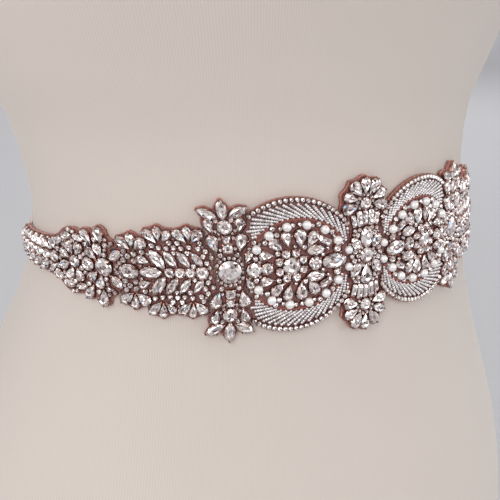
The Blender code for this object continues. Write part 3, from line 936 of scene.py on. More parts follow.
@dataclass(frozen=True)
class Drawing:
    """Where the sash's motifs stand along the band, in millimetres from its middle."""

    pearls: float = 31.8
    medallion: float = 35.2
    cross: float = 60.5
    branch: float = 73.2
    flower: float = 101.2
    rosette: float = 112.4
    bud: float = 126.7
    taper: float = 138.6
    taper_step: float = 5.7
    end: float = 184.0

    def centre_stones(self) -> list[Stone]:
        """Two fans, above and below a flower, with short stems of bars between them."""
        found = [stone(Cut.ROUND, 0, 0, 5.8), stone(Cut.OVAL, 0, 7.8, 8.2, 5.4, 90)]
        found.append(stone(Cut.DROP, 0, -8.2, 8.0, 5.4, 90))
        for side in (1, -1):
            found.append(stone(Cut.OVAL, 5.2 * side, 5.6, 6.2, 4.2, 90 - 40 * side))
            found.append(stone(Cut.LEAF, 5.4 * side, -5.7, 7.0, 4.0, 90 + 36 * side))
            found += pair(Cut.PEARL, 9.2 * side, 3.6, 3.5)
            found += pair(Cut.BAR, 2.9 * side, 15.9, 6.2, 2.3, 90 - 5 * side)
            found += pair(Cut.BAR, 5.8 * side, 15.1, 5.6, 2.3, 90 - 12 * side)
        found += both([stone(Cut.BAR, 0, 16.2, 6.4, 2.3, 90), stone(Cut.ROUND, 0, 22.4, 4.6)])
        facings = tuple(90 + 34 * k for k in range(-3, 4))
        return found + both(fan(0, 22.6, facings, 7.2, 4.7, 4.0))

    def centre_small(self) -> list[Stone]:
        """Small rounds beside the stems, between the flower's petals and along the fans' base."""
        found = []
        for side in (1, -1):
            spots = [(13.6, 20.4, 2.4), (11.4, 17.9, 2.2), (8.9, 16.2, 2.0), (7.6, 9.3, 2.0)]
            spots += [(9.3, 11.6, 2.0), (5.6, 10.9, 1.8), (3.1, 3.6, 1.7), (11.9, 1.0, 1.9)]
            spots += [(12.6, 7.4, 2.1), (6.6, 19.9, 1.8), (3.0, 20.6, 1.7)]
            found += rounds(spots, side=side)
            found.append(stone(Cut.ROUND, 4.2 * side, 0.2, 2.2))
            found.append(stone(Cut.ROUND, 7.4 * side, 0.3, 2.2))
        return found

    def medallion_stones(self) -> list[Stone]:
        """An oval of pearls about a hub in its ring of rounds and petals."""
        hub = self.medallion
        drops = [(10.3, 5.4, 6.6, 4.5, 186), (5.9, 9.2, 6.9, 4.5, 222), (1.3, 11.3, 7.0, 4.6, 262)]
        drops += [(-4.5, 11.1, 7.0, 4.6, 276), (-9.6, 10.2, 6.6, 4.3, 306), (17.6, 5.6, 6.4, 3.8, -62)]
        found = []
        for angle in (30, 54, 78, 102, 126, 150):
            found += pair(Cut.PEARL, *on_oval(self.pearls, angle, 20.2, 16.9), 3.9)
        found.append(stone(Cut.ROUND, hub, 0, 6.5))
        found += ring_of(hub, 8, 5.5, 3.3, 22.5)
        found += [stone(Cut.ROUND, hub + 10.1, 0, 4.2), stone(Cut.ROUND, hub + 15.6, 0, 5.4)]
        found += [stone(Cut.ROUND, hub - 10.4, 0, 5.0), stone(Cut.OVAL, hub - 19.0, 0, 10.4, 5.4)]
        for out, up, length, width, faces in drops:
            found += pair(Cut.DROP, hub + out, up, length, width, faces)
        found += pair(Cut.LEAF, hub - 10.7, 5.5, 7.8, 3.9)
        found += pair(Cut.BAR, hub - 15.4, 8.9, 5.8, 2.8, 28)
        return found + pair(Cut.ROUND, hub - 20.6, 4.9, 3.2)

    def medallion_small(self) -> list[Stone]:
        """Pairs of small rounds between the pearls, and a studded line round the outer edge."""
        found = []
        for angle in (18, 42, 66, 90, 114, 138, 160):
            for step in (-4.1, 4.1):
                found += pair(Cut.ROUND, *on_oval(self.pearls, angle + step, 20.3, 17.0), 2.1)
        spots = [(-16.4, 5.6, 2.0), (-14.0, 3.2, 1.8), (13.2, 3.0, 1.8), (-13.4, 11.6, 1.9)]
        spots += [(-1.9, 7.9, 1.6), (3.9, 7.4, 1.6), (-8.4, 6.9, 1.7), (8.2, 2.3, 1.5)]
        spots += [(8.8, 11.3, 1.9), (13.0, 8.4, 1.9), (-23.9, 1.9, 1.9)]
        found += rounds(spots, self.medallion)
        for angle in np.arange(16, 162, 4.7):
            found += pair(Cut.ROUND, *on_oval(33.5, angle, 28.7, 27.8), 2.15)
        return found

    def medallion_rows(self) -> list[Stone]:
        """Rows of beads aslant between two ellipses, the outer end 17 degrees on, 1.52 mm apart."""
        angles = np.radians(np.linspace(4, 178, 700))
        inner = np.stack([self.pearls + 23.0 * np.cos(angles), 19.9 * np.sin(angles)], -1)
        angles = angles - math.radians(17)
        outer = np.stack([33.6 + 27.3 * np.cos(angles), 26.2 * np.sin(angles)], -1)
        middle, along = (inner + outer) / 2, outer - inner
        length = np.hypot(*along.T)
        step = np.diff(middle, axis=0)
        apart = np.abs(step[:, 0] * along[1:, 1] - step[:, 1] * along[1:, 0]) / length[1:]
        gone = np.concatenate([[0], np.cumsum(apart)])
        picks = np.searchsorted(gone, np.arange(0.1, gone[-1], 1.52))
        facing = np.degrees(np.arctan2(along[:, 1], along[:, 0]))
        spans = zip(middle[picks], length[picks], facing[picks])
        return both([stone(Cut.ROW, m[0], m[1], float(n), 1.4, float(f)) for m, n, f in spans])

    def medallion_chain(self) -> list[Array]:
        """Fine chain on an ellipse between the pearls and the bead rows, above and below."""
        a = np.radians(np.linspace(22, 160, 66))
        upper = np.stack([self.pearls + 22.3 * np.cos(a), 19.25 * np.sin(a)], -1)
        return [upper, upper * (1, -1)]

    def cross_stones(self) -> list[Stone]:
        """A large hub with a stem of squares up and down, each ending in a spray of leaves."""
        hub = self.cross
        found = [stone(Cut.ROUND, hub, 0, 8.6)]
        for square in (9.6, 13.5):
            found += pair(Cut.BAR, hub, square, 3.2)
        arm = [stone(Cut.ROUND, hub, 18.7, 5.2), stone(Cut.LEAF, hub, 26.1, 7.8, 3.7, 90)]
        for side in (1, -1):
            arm.append(stone(Cut.LEAF, hub + 6.0 * side, 24.7, 7.4, 3.5, 90 - 64 * side))
            arm.append(stone(Cut.DROP, hub + 5.9 * side, 19.2, 6.6, 4.1, -90 - 14 * side))
            arm.append(stone(Cut.DROP, hub + 5.5 * side, 11.9, 6.6, 4.2, -90 - 14 * side))
        return found + both(arm)

    def cross_small(self) -> list[Stone]:
        """A ring of small rounds about the hub, and a few beside the stem."""
        found = ring_of(self.cross, 18, 5.75, 1.75, 10)
        for side in (1, -1):
            spots = [(3.0, 22.3, 1.7), (2.6, 15.9, 1.5), (7.9, 7.2, 1.9), (2.4, 8.0, 1.4)]
            spots += [(8.4, 15.6, 1.7)]
            found += rounds(spots, self.cross, side)
        return found

    def branch_stones(self) -> list[Stone]:
        """A midrib of rounds between slanting leaves, fans on both edges, then the flower."""
        rib = self.branch
        found = [stone(Cut.ROUND, rib - 1.6, 0, 4.6)]
        found += [stone(Cut.ROUND, rib + 3.0 + 4.2 * k, 0, 3.7) for k in range(3)]
        for k in range(4):
            found += pair(Cut.LEAF, rib + 5.3 * k, 5.6, 8.4, 4.1, 56)
        found.append(stone(Cut.LEAF, rib + 19.1, 0, 8.8, 4.4))
        found += pair(Cut.DROP, rib + 21.6, 5.0, 4.6, 3.0, 200)
        for k in range(2):
            found += both(fan(rib + 2.1 + 11.9 * k, 11.4, (50, 90, 130), 6.5, 3.9, 1.6))
        found.append(stone(Cut.OVAL, self.flower, 0, 8.4, 6.0))
        found += both(fan(self.flower - 2.4, 8.4, (42, 90, 138), 6.0, 4.0, 1.6))
        return found + pair(Cut.LEAF, self.flower + 5.6, 5.6, 6.2, 3.2, -42)

    def branch_small(self) -> list[Stone]:
        """A row of small rounds along each edge of the leaves, and a few in the gaps."""
        spots = [(66.6, 3.2, 2.2), (67.4, 6.2, 2.2), (69.4, 8.9, 2.4), (72.2, 10.1, 2.4)]
        spots += [(75.6, 10.7, 2.4), (78.8, 10.2, 2.3), (81.6, 10.5, 2.4), (84.6, 10.2, 2.4)]
        spots += [(87.6, 10.4, 2.3), (90.4, 9.7, 2.4), (92.6, 7.7, 2.2), (93.4, 10.6, 1.8)]
        spots += [(96.4, 5.6, 2.0), (104.6, 4.6, 2.2), (96.2, 2.8, 1.7), (105.2, 8.8, 2.0)]
        spots += [(106.4, 1.4, 1.9), (81.2, 14.2, 1.7), (69.2, 12.9, 1.9), (92.4, 13.6, 1.8)]
        return rounds(spots)

    def end_stones(self) -> list[Stone]:
        """A rosette, a bud, then rounds with paired leaves that shrink to a last drop."""
        found = [stone(Cut.ROUND, self.rosette, 0, 6.8), stone(Cut.ROUND, self.rosette + 7.5, 0, 4.9)]
        found += petals(self.rosette, (42, 76, 110, 144), 7.2, 7.0, 5.2, 3.7)
        found += petals(self.rosette, (60, 90, 122), 12.6, 13.4, 6.0, 4.0)
        found.append(stone(Cut.ROUND, self.bud, 0, 4.4))
        found += petals(self.bud, (22.5, 67.5, 112.5, 157.5), 5.9, 5.9, 5.2, 3.8)
        for out, up, faces in ((-3.4, 10.4, 8), (3.2, 10.2, -10), (9.0, 7.4, -34)):
            found += pair(Cut.LEAF, self.bud + out, up, 6.2, 3.2, faces)
        for k in range(7):
            u, leaf = self.taper + self.taper_step * k, 7.0 - 0.36 * k
            found.append(stone(Cut.ROUND, u, 0, 4.0 - 0.12 * k))
            found += pair(Cut.LEAF, u + 1.6, 5.2 - 0.28 * k, leaf, 3.5 - 0.1 * k, 40)
        found.append(stone(Cut.DROP, self.end - 5.2, 0, 6.6, 3.9))
        return found

    def end_small(self) -> list[Stone]:
        """Small rounds in the rosette's gaps, along the bud's rim and beside the taper."""
        spots = [(117.4, 14.6, 2.2), (120.3, 14.4, 2.2), (122.9, 13.9, 2.1), (125.3, 13.6, 2.1)]
        spots += [(127.7, 13.2, 2.1), (130.0, 12.4, 2.1), (132.2, 11.2, 2.1), (107.6, 10.4, 1.8)]
        spots += [(116.8, 9.8, 1.9), (119.6, 6.6, 2.1), (120.6, 10.0, 2.0), (116.6, 3.6, 1.5)]
        spots += [(119.7, 3.5, 1.5), (107.3, 1.2, 1.4), (134.4, 3.2, 1.7), (135.9, 5.6, 1.6)]
        spots += [(138.2, 8.9, 1.5)]
        found = rounds(spots)
        for k in range(7):
            u = self.taper + self.taper_step * k + 2.9
            found += pair(Cut.ROUND, u, 1.3, 1.4)
            found += pair(Cut.ROUND, u + 1.5, 7.3 - 0.34 * k, 1.5)
        return found

    def taper_ground(self) -> Array:
        """Corners of the cloth under the band's narrowing end."""
        upper = [(124, 12), (135, 10.6), (140, 8.6), (158, 6.6)]
        upper += [(self.end - 6, 4.6), (self.end - 1, 2.6)]
        return np.array([(u, -t) for u, t in upper] + upper[::-1], float)

    def panels(self) -> list[Panel]:
        """Settles every stone, cuts every panel, and mirrors the sides.

        Returns:
            The nine panels.
        """
        centre = Panel("centre", settle(self.centre_stones()), [box(-7.5, 7.5, -24, 24)])
        centre.ground += [oval(0, 0, 8.6, 12, 20), oval(0, 22.5, 9, 8, 16), oval(0, -22.5, 9, 8, 16)]
        cross = Panel("cross", settle(self.cross_stones()), [])
        cross.ground = [box(self.cross - 3.6, self.cross + 3.6, -23.6, 23.6)]
        cross.ground.append(oval(self.cross, 0, 6.2, 13.6, 20))
        beside = centre.large + cross.large
        medallion = Panel("medallion", settle(self.medallion_stones(), beside), [])
        medallion.ground = [oval(33.4, 0, 29.6, 28.8, 40)]
        branch = Panel("branch", settle(self.branch_stones(), cross.large), [])
        branch.ground = [box(66.0, 96.0, -13.4, 13.4), oval(self.flower - 2, 0, 9.5, 11.6, 20)]
        end = Panel("end", settle(self.end_stones(), branch.large), [])
        end.ground = [oval(self.rosette, 0, 10.5, 13.0, 20), oval(self.bud, 0, 13.0, 14.2, 24)]
        end.ground.append(self.taper_ground())
        centre.cut([])
        cross.cut([])
        medallion.cut([centre, cross])
        branch.cut([cross])
        end.cut([branch])
        halves = (centre, cross, medallion, branch, end)
        fuller(halves)
        seated = [p for panel in halves for p in panel.large]
        shares = (1.0, 0.85, 0.7)
        studs = settle(self.medallion_small(), seated, 0.12, shares)
        medallion.rows = clipped(self.medallion_rows(), medallion.loop, seated + studs)
        medallion.small = self.on(studs, medallion)
        medallion.chains = self.medallion_chain()
        seated += medallion.small + medallion.rows
        for panel, wanted in (
            (centre, self.centre_small()),
            (cross, self.cross_small()),
            (branch, self.branch_small()),
            (end, self.end_small()),
        ):
            panel.small = self.on(settle(wanted, seated, 0.08, shares), panel)
            seated += panel.small
        for panel, least in zip(halves, (0.85, 0.85, 1.3, 1.05, 0.9)):
            others = [p.loop for p in halves if p is not panel]
            panel.beside = others + ([loop * (-1, 1) for loop in others] if panel is centre else [])
            panel.small += fillers(panel.loop, seated, least)
            panel.small += fillers(panel.loop, seated + panel.small, 0.66, panel.beside)
        found = [centre]
        for panel in (medallion, cross, branch, end):
            right = panel.other_side(f"{panel.name}_right")
            panel.name = f"{panel.name}_left"
            found += [panel, right]
        return found

    @staticmethod
    def on(found: list[Stone], panel: Panel) -> list[Stone]:
        """The stones whose middle lies on the panel, a little inside its cut edge."""
        if not found:
            return []
        at = np.array([(p.u, p.t) for p in found])
        held = well_inside(at, panel.loop, 0.55)
        return [p for p, yes in zip(found, held) if yes]


# Finishes


class Graph:
    """A node tree, with short ways to add and join nodes."""

    def __init__(self, owner: bpy.types.ID, shader: str) -> None:
        """Takes the owner's tree and keeps its shader.

        Args:
            owner: A material or a world.
            shader: Name of the shader that the patterns feed.
        """
        owner.use_nodes = True
        self.tree = owner.node_tree
        self.shader = self.tree.nodes[shader]

    def set(self, **values: float | tuple[float, ...]) -> None:
        """Sets the shader's own sockets, underscores standing for spaces."""
        for name, value in values.items():
            self.shader.inputs[name.replace("_", " ")].default_value = value

    def add(self, kind: str, **values: float | str) -> bpy.types.Node:
        """Adds a node and sets its sockets or properties.

        Args:
            kind: The node's type.
            values: Socket values where a socket has that name, else properties.

        Returns:
            The node.
        """
        node = self.tree.nodes.new(kind)
        for name, value in values.items():
            socket = name.replace("_", " ")
            if socket in node.inputs:
                node.inputs[socket].default_value = value
            else:
                setattr(node, name, value)
        return node

    def join(self, source: Socket, target: Socket) -> None:
        """Joins two sockets."""
        self.tree.links.new(source, target)

    def place(self, uv: bool = False) -> Socket:
        """Object coordinates, or the flat cut's own map."""
        if uv:
            return self.add("ShaderNodeUVMap", uv_map="cut").outputs["UV"]
        return self.add("ShaderNodeTexCoord").outputs["Object"]

    def tone(self) -> Socket:
        """The number that each face carries."""
        return self.add("ShaderNodeAttribute", attribute_name="tone").outputs["Fac"]

    def distance(self, reach: float) -> Socket:
        """Distance from the origin, as a part of a reach in metres."""
        length = self.add("ShaderNodeVectorMath", operation="LENGTH")
        self.join(self.place(), length.inputs[0])
        return self.together(length.outputs["Value"], reach, "DIVIDE")

    def noise(self, scale: float, detail: float = 3.0, uv: bool = False) -> Socket:
        """A noise pattern's strength."""
        node = self.add("ShaderNodeTexNoise", Scale=scale, Detail=detail)
        self.join(self.place(uv), node.inputs["Vector"])
        return node.outputs["Fac"]

    def wave(self, axis: str, period: float, wander: float) -> Socket:
        """Fine bands across an axis of the flat cut: wave scale = 2 pi / (20 x period).

        Args:
            axis: X or Y.
            period: Width of a light and a dark band together, in the map's units.
            wander: Distortion of the bands.

        Returns:
            The pattern's strength.
        """
        scale = 2 * math.pi / (20 * period)
        node = self.add("ShaderNodeTexWave", Scale=scale, Distortion=wander, bands_direction=axis)
        self.join(self.place(True), node.inputs["Vector"])
        return node.outputs["Fac"]

    def wales(self, count: float, height: float) -> Socket:
        """Upright ribs, evenly round the Z axis: height x sin(count x the turn about it)."""
        split = self.add("ShaderNodeSeparateXYZ")
        self.join(self.place(), split.inputs[0])
        found = self.together(split.outputs["X"], split.outputs["Y"], "ARCTAN2")
        for how, by in (("MULTIPLY", count), ("SINE", 0.0), ("MULTIPLY", height)):
            found = self.together(found, by, how)
        return found

    def shades(self, source: Socket, stops: list[tuple[float, Colour]]) -> Socket:
        """The colour that a number picks between the stops."""
        node = self.add("ShaderNodeValToRGB")
        band = node.color_ramp
        while len(band.elements) < len(stops):
            band.elements.new(0.5)
        for element, (at, colour) in zip(band.elements, stops):
            element.position = at
            element.color = (*colour, 1.0)
        self.join(source, node.inputs["Fac"])
        return node.outputs["Color"]

    def ramp(self, source: Socket, stops: list[tuple[float, Colour]]) -> None:
        """Colours the surface from a number through the stops."""
        self.join(self.shades(source, stops), self.shader.inputs["Base Color"])

    def vary(self, source: Socket, socket: str, low: float, high: float) -> None:
        """Spreads a number over a socket of the shader, from low to high."""
        node = self.add("ShaderNodeMapRange", To_Min=low, To_Max=high)
        self.join(source, node.inputs["Value"])
        self.join(node.outputs["Result"], self.shader.inputs[socket])

    def together(self, a: Socket, b: Socket | float, how: str) -> Socket:
        """A pattern with another or with a plain number, by the named operation."""
        node = self.add("ShaderNodeMath", operation=how)
        self.join(a, node.inputs[0])
        if isinstance(b, float):
            node.inputs[1].default_value = b
        else:
            self.join(b, node.inputs[1])
        return node.outputs["Value"]

    def bump(self, source: Socket, strength: float, depth: float) -> None:
        """Raises the surface by a pattern."""
        node = self.add("ShaderNodeBump", Strength=strength, Distance=depth)
        self.join(source, node.inputs["Height"])
        self.join(node.outputs["Normal"], self.shader.inputs["Normal"])


@dataclass(frozen=True)
class Finish:
    """A material's name, colours and surface."""

    name: str = "plain"

    def material(self) -> Material:
        """Builds the material."""
        made = bpy.data.materials.new(self.name)
        self.dress(Graph(made, "Principled BSDF"))
        return made

    def dress(self, g: Graph) -> None:
        """Lays its colours and surface on the shader."""


@dataclass(frozen=True)
class CrystalFinish(Finish):
    """Foil-backed cut crystal: each facet's tone picks a painted reflection from slate to white, and
    the highest tones a painted blue glint.
    """

    name: str = "cut_crystal"
    slate: Colour = (0.06, 0.036, 0.037)
    smoke: Colour = (0.42, 0.31, 0.29)
    silver: Colour = (0.70, 0.63, 0.61)
    white: Colour = (0.97, 0.955, 0.945)
    blue: Colour = (0.2, 0.36, 0.62)

    def dress(self, g: Graph) -> None:
        """Lays its colours and surface on the shader."""
        tone = g.tone()
        # Painted reflections: slate and smoke are painted dark reflections, silver and white painted
        # bright ones and highlights, blue a painted glint.
        stops = [(0.03, self.slate), (0.2, self.smoke), (0.5, self.silver), (0.82, self.white)]
        g.ramp(tone, stops + [(0.96, self.white), (0.985, self.blue)])
        g.vary(g.noise(900), "Roughness", 0.08, 0.26)
        g.set(Metallic=0.62, Coat_Weight=1.0, Coat_Roughness=0.03, Coat_IOR=1.5)


@dataclass(frozen=True)
class MetalFinish(Finish):
    """Rose-gold plate, a little worn and uneven."""

    name: str = "rose_gold"
    deep: Colour = (0.22, 0.085, 0.065)
    pale: Colour = (0.5, 0.29, 0.24)

    def dress(self, g: Graph) -> None:
        """Lays its colours and surface on the shader."""
        g.ramp(g.noise(500), [(0.3, self.deep), (0.7, self.pale)])
        g.vary(g.noise(1400), "Roughness", 0.3, 0.5)
        g.bump(g.noise(2400), 0.15, 0.00005)
        g.set(Metallic=1.0)


@dataclass(frozen=True)
class PearlFinish(Finish):
    """Warm white pearl with a soft lustre under a clear gloss."""

    name: str = "pearl"
    shade: Colour = (0.86, 0.82, 0.79)
    light: Colour = (0.96, 0.945, 0.93)

    def dress(self, g: Graph) -> None:
        """Lays its colours and surface on the shader."""
        g.ramp(g.noise(260), [(0.25, self.shade), (0.7, self.light)])
        g.vary(g.noise(1600), "Roughness", 0.22, 0.34)
        g.set(Coat_Weight=1.0, Coat_Roughness=0.05, Sheen_Weight=0.25, Subsurface_Weight=0.1)
        g.set(Subsurface_Radius=(0.002, 0.0015, 0.001), Metallic=0.2)


@dataclass(frozen=True)
class BeadFinish(Finish):
    """Silver-lined cut glass beads, each facet a little lighter or darker: painted reflections of the
    lining.
    """

    name: str = "silver_bead"
    shade: Colour = (0.30, 0.25, 0.245)
    middle: Colour = (0.60, 0.545, 0.54)
    light: Colour = (0.84, 0.81, 0.81)

    def dress(self, g: Graph) -> None:
        """Lays its colours and surface on the shader."""
        tone = g.tone()
        # Painted reflections: shade, middle and light are picked by each bead's and facet's tone.
        g.ramp(tone, [(0.05, self.shade), (0.4, self.middle), (0.8, self.light)])
        g.vary(g.noise(1100), "Roughness", 0.16, 0.34)
        g.set(Metallic=0.55, Coat_Weight=0.8, Coat_Roughness=0.08)


@dataclass(frozen=True)
class ClothFinish(Finish):
    """Close-woven rose backing: warp and weft threads cross on the flat cut. Its rose is darkened,
    partly as painted shade for the gaps between the stones.
    """

    name: str = "rose_backing"
    # Both colours darker than the rose itself: partly painted shade for the gaps between the stones.
    deep: Colour = (0.155, 0.058, 0.055)
    pale: Colour = (0.40, 0.19, 0.175)
    thread: float = 0.0048

    def dress(self, g: Graph) -> None:
        """Lays its colours and surface on the shader."""
        warp, weft = (g.wave(axis, self.thread, 0.4) for axis in "XY")
        weave = g.together(warp, weft, "MAXIMUM")
        worn = g.together(weave, g.noise(14, 5, True), "MULTIPLY")
        g.ramp(worn, [(0.15, self.deep), (0.6, self.pale)])
        g.vary(weave, "Roughness", 0.85, 0.6)
        g.bump(weave, 0.5, 0.00012)
        g.set(Sheen_Weight=0.35, Sheen_Roughness=0.4, Sheen_Tint=(0.95, 0.75, 0.7, 1.0))


@dataclass(frozen=True)
class CordFinish(Finish):
    """Copper thread wound over the cut edges, its windings' pale crests partly painted glints."""

    name: str = "copper_thread"
    deep: Colour = (0.46, 0.14, 0.10)
    # Pale raised partly as painted glints on the windings' crests.
    pale: Colour = (0.94, 0.49, 0.36)
    strand: float = 0.0035

    def dress(self, g: Graph) -> None:
        """Lays its colours and surface on the shader."""
        wound = g.wave("X", self.strand, 0.3)
        g.ramp(g.together(wound, g.noise(300), "MULTIPLY"), [(0.15, self.deep), (0.7, self.pale)])
        g.vary(wound, "Roughness", 0.6, 0.32)
        g.bump(wound, 0.6, 0.0001)
        g.set(Metallic=0.4, Sheen_Weight=0.3)


@dataclass(frozen=True)
class SatinFinish(Finish):
    """Blush satin: fine threads along its length and a drawn-out gloss."""

    name: str = "blush_satin"
    deep: Colour = (0.62, 0.42, 0.37)
    pale: Colour = (0.80, 0.62, 0.56)
    thread: float = 0.0022

    def dress(self, g: Graph) -> None:
        """Lays its colours and surface on the shader."""
        threads = g.wave("Y", self.thread, 1.2)
        uneven = g.together(threads, g.noise(9, 4, True), "MULTIPLY")
        g.ramp(uneven, [(0.1, self.deep), (0.5, self.pale)])
        g.vary(threads, "Roughness", 0.42, 0.28)
        g.bump(threads, 0.25, 0.00006)
        g.set(Sheen_Weight=0.5, Sheen_Roughness=0.35, Anisotropic=0.6, Specular_IOR_Level=0.7)


@dataclass(frozen=True)
class KnitFinish(Finish):
    """The form's stretched cover: a very fine knit, ribbed upright."""

    name: str = "form_cover"
    shade: Colour = (0.68, 0.605, 0.545)
    light: Colour = (0.72, 0.645, 0.585)
    ribs: float = 620.0

    def dress(self, g: Graph) -> None:
        """Lays its colours and surface on the shader."""
        ribs = g.wales(self.ribs, 0.22)
        g.ramp(g.together(g.noise(7, 4), ribs, "ADD"), [(0.3, self.shade), (0.7, self.light)])
        g.vary(g.noise(600), "Roughness", 0.72, 0.9)
        g.bump(g.together(ribs, g.noise(1500), "MULTIPLY"), 0.4, 0.00015)
        g.set(Sheen_Weight=0.2, Sheen_Roughness=0.5, Specular_IOR_Level=0.25)


@dataclass(frozen=True)
class FloorFinish(Finish):
    """Plain pale matt floor, painted lighter towards its far edges, out of the lamps' reach."""

    name: str = "pale_floor"
    near: Colour = (0.565, 0.565, 0.58)
    middle: Colour = (0.66, 0.66, 0.675)
    far: Colour = (0.86, 0.86, 0.875)
    edge: Colour = (0.94, 0.94, 0.95)
    reach: float = 8.0

    def dress(self, g: Graph) -> None:
        """Lays its colours and surface on the shader."""
        stops = [(0.17, self.near), (0.3, self.middle), (0.55, self.far), (1.0, self.edge)]
        g.ramp(g.distance(self.reach), stops)
        g.vary(g.noise(40), "Roughness", 0.85, 0.95)
        g.bump(g.noise(220), 0.05, 0.0002)
        g.set(Specular_IOR_Level=0.1)


@dataclass
class Palette:
    """The finishes, built once."""

    crystal: Material
    metal: Material
    pearl: Material
    bead: Material
    cloth: Material
    cord: Material
    satin: Material
    knit: Material
    floor: Material

    @classmethod
    def mixed(cls) -> "Palette":
        """Builds every finish."""
        kinds = (CrystalFinish, MetalFinish, PearlFinish, BeadFinish, ClothFinish, CordFinish)
        return cls(*(kind().material() for kind in (*kinds, SatinFinish, KnitFinish, FloorFinish)))


# Cut stones and what holds them


@dataclass(frozen=True)
class StoneTemplate:
    """Points of one cut stone in units of its half length, half width and height."""

    cut: Cut
    corners: int

    def girdle(self) -> Array:
        """Its widest line: an ellipse; for a drop, an arc and two tangents that meet; for a leaf,
        y = sin(a) to the power 1.7; for a bar, an ellipse drawn out to its corners by powers of 0.3.

        Returns:
            Two numbers to a corner, counter-clockwise.
        """
        a = np.arange(self.corners) * 2 * math.pi / self.corners
        c, s = np.cos(a), np.sin(a)
        if self.cut is Cut.DROP:
            half = self.corners // 2
            sharp, middle = math.radians(61.6), -0.355
            arc = np.linspace(sharp, math.pi, half - 2)
            touch = np.array([middle + 0.645 * math.cos(sharp), 0.645 * math.sin(sharp)])
            share = np.array([[0.0], [0.36], [0.72]])
            bow = np.array([[0.0, 0.0], [0.02, 0.035], [0.015, 0.03]])
            side = (1, 0) + share * (touch - (1, 0)) + bow
            round_end = np.stack([middle + 0.645 * np.cos(arc), 0.645 * np.sin(arc)], -1)
            upper = np.concatenate([side, round_end]) / (1, 0.645)
            return np.concatenate([upper, upper[-2:0:-1] * (1, -1)])
        if self.cut is Cut.LEAF:
            return np.stack([c, np.sign(s) * np.abs(s) ** 1.7], -1)
        if self.cut is Cut.BAR:
            return np.stack([np.sign(c) * np.abs(c) ** 0.3, np.sign(s) * np.abs(s) ** 0.3], -1)
        return np.stack([c, s], -1)

    def heart(self) -> Array:
        """The point that its facets turn about, towards a drop's round end."""
        return np.array([-0.14 if self.cut is Cut.DROP else 0.0, 0.0])

    def points(self) -> Array:
        """Rings from the table's middle to the foot, each a share of the girdle about the heart.

        Returns:
            Three numbers to a point: the middle, star, table, crown, girdle and foot rings, and the
            foot's middle.
        """
        line, heart = self.girdle(), self.heart()
        rings = [(line[1::2], 0.34, 0.89), (line[0::2], 0.62, 1.0), (line[1::2], 0.83, 0.80)]
        rings += [(line, 1.0, 0.52), (line, 0.92, 0.06)]
        found = [np.array([[*heart, 0.98]])]
        for at, share, height in rings:
            plan = heart + (at - heart) * share
            found.append(np.concatenate([plan, np.full((len(at), 1), height)], 1))
        return np.concatenate([*found, np.array([[*heart, 0.06]])])

    def faces(self) -> tuple[Array, Array]:
        """Triangles of the facets and quads of the girdle's wall.

        Returns:
            Two arrays of corner numbers.
        """
        half = self.corners // 2
        j = np.arange(half)
        on, back = (j + 1) % half, (j - 1) % half
        star, table, crown = 1 + j, 1 + half + j, 1 + 2 * half + j
        star_on, table_on, crown_back = 1 + on, 1 + half + on, 1 + 2 * half + back
        line = 1 + 3 * half
        even, odd, after = line + 2 * j, line + 2 * j + 1, line + (2 * j + 2) % self.corners
        facets = [(0 * j, star, star_on), (star, table_on, star_on), (table, table_on, star)]
        facets += [(table, crown, table_on), (crown_back, even, table), (table, even, crown)]
        facets += [(crown, even, odd), (crown, odd, after)]
        i = np.arange(self.corners)
        beside = (i + 1) % self.corners
        foot = line + self.corners
        wall = np.stack([line + i, foot + i, foot + beside, line + beside], -1)
        facets.append((np.full(self.corners, foot + self.corners), foot + beside, foot + i))
        return np.concatenate([np.stack(f, -1) for f in facets]), wall


def by_cut(found: list[Stone]) -> list[tuple[Cut, list[Stone]]]:
    """The stones in groups of one cut each, in the order in which the cuts first come."""
    return [(cut, [p for p in found if p.cut is cut]) for cut in {p.cut: None for p in found}]


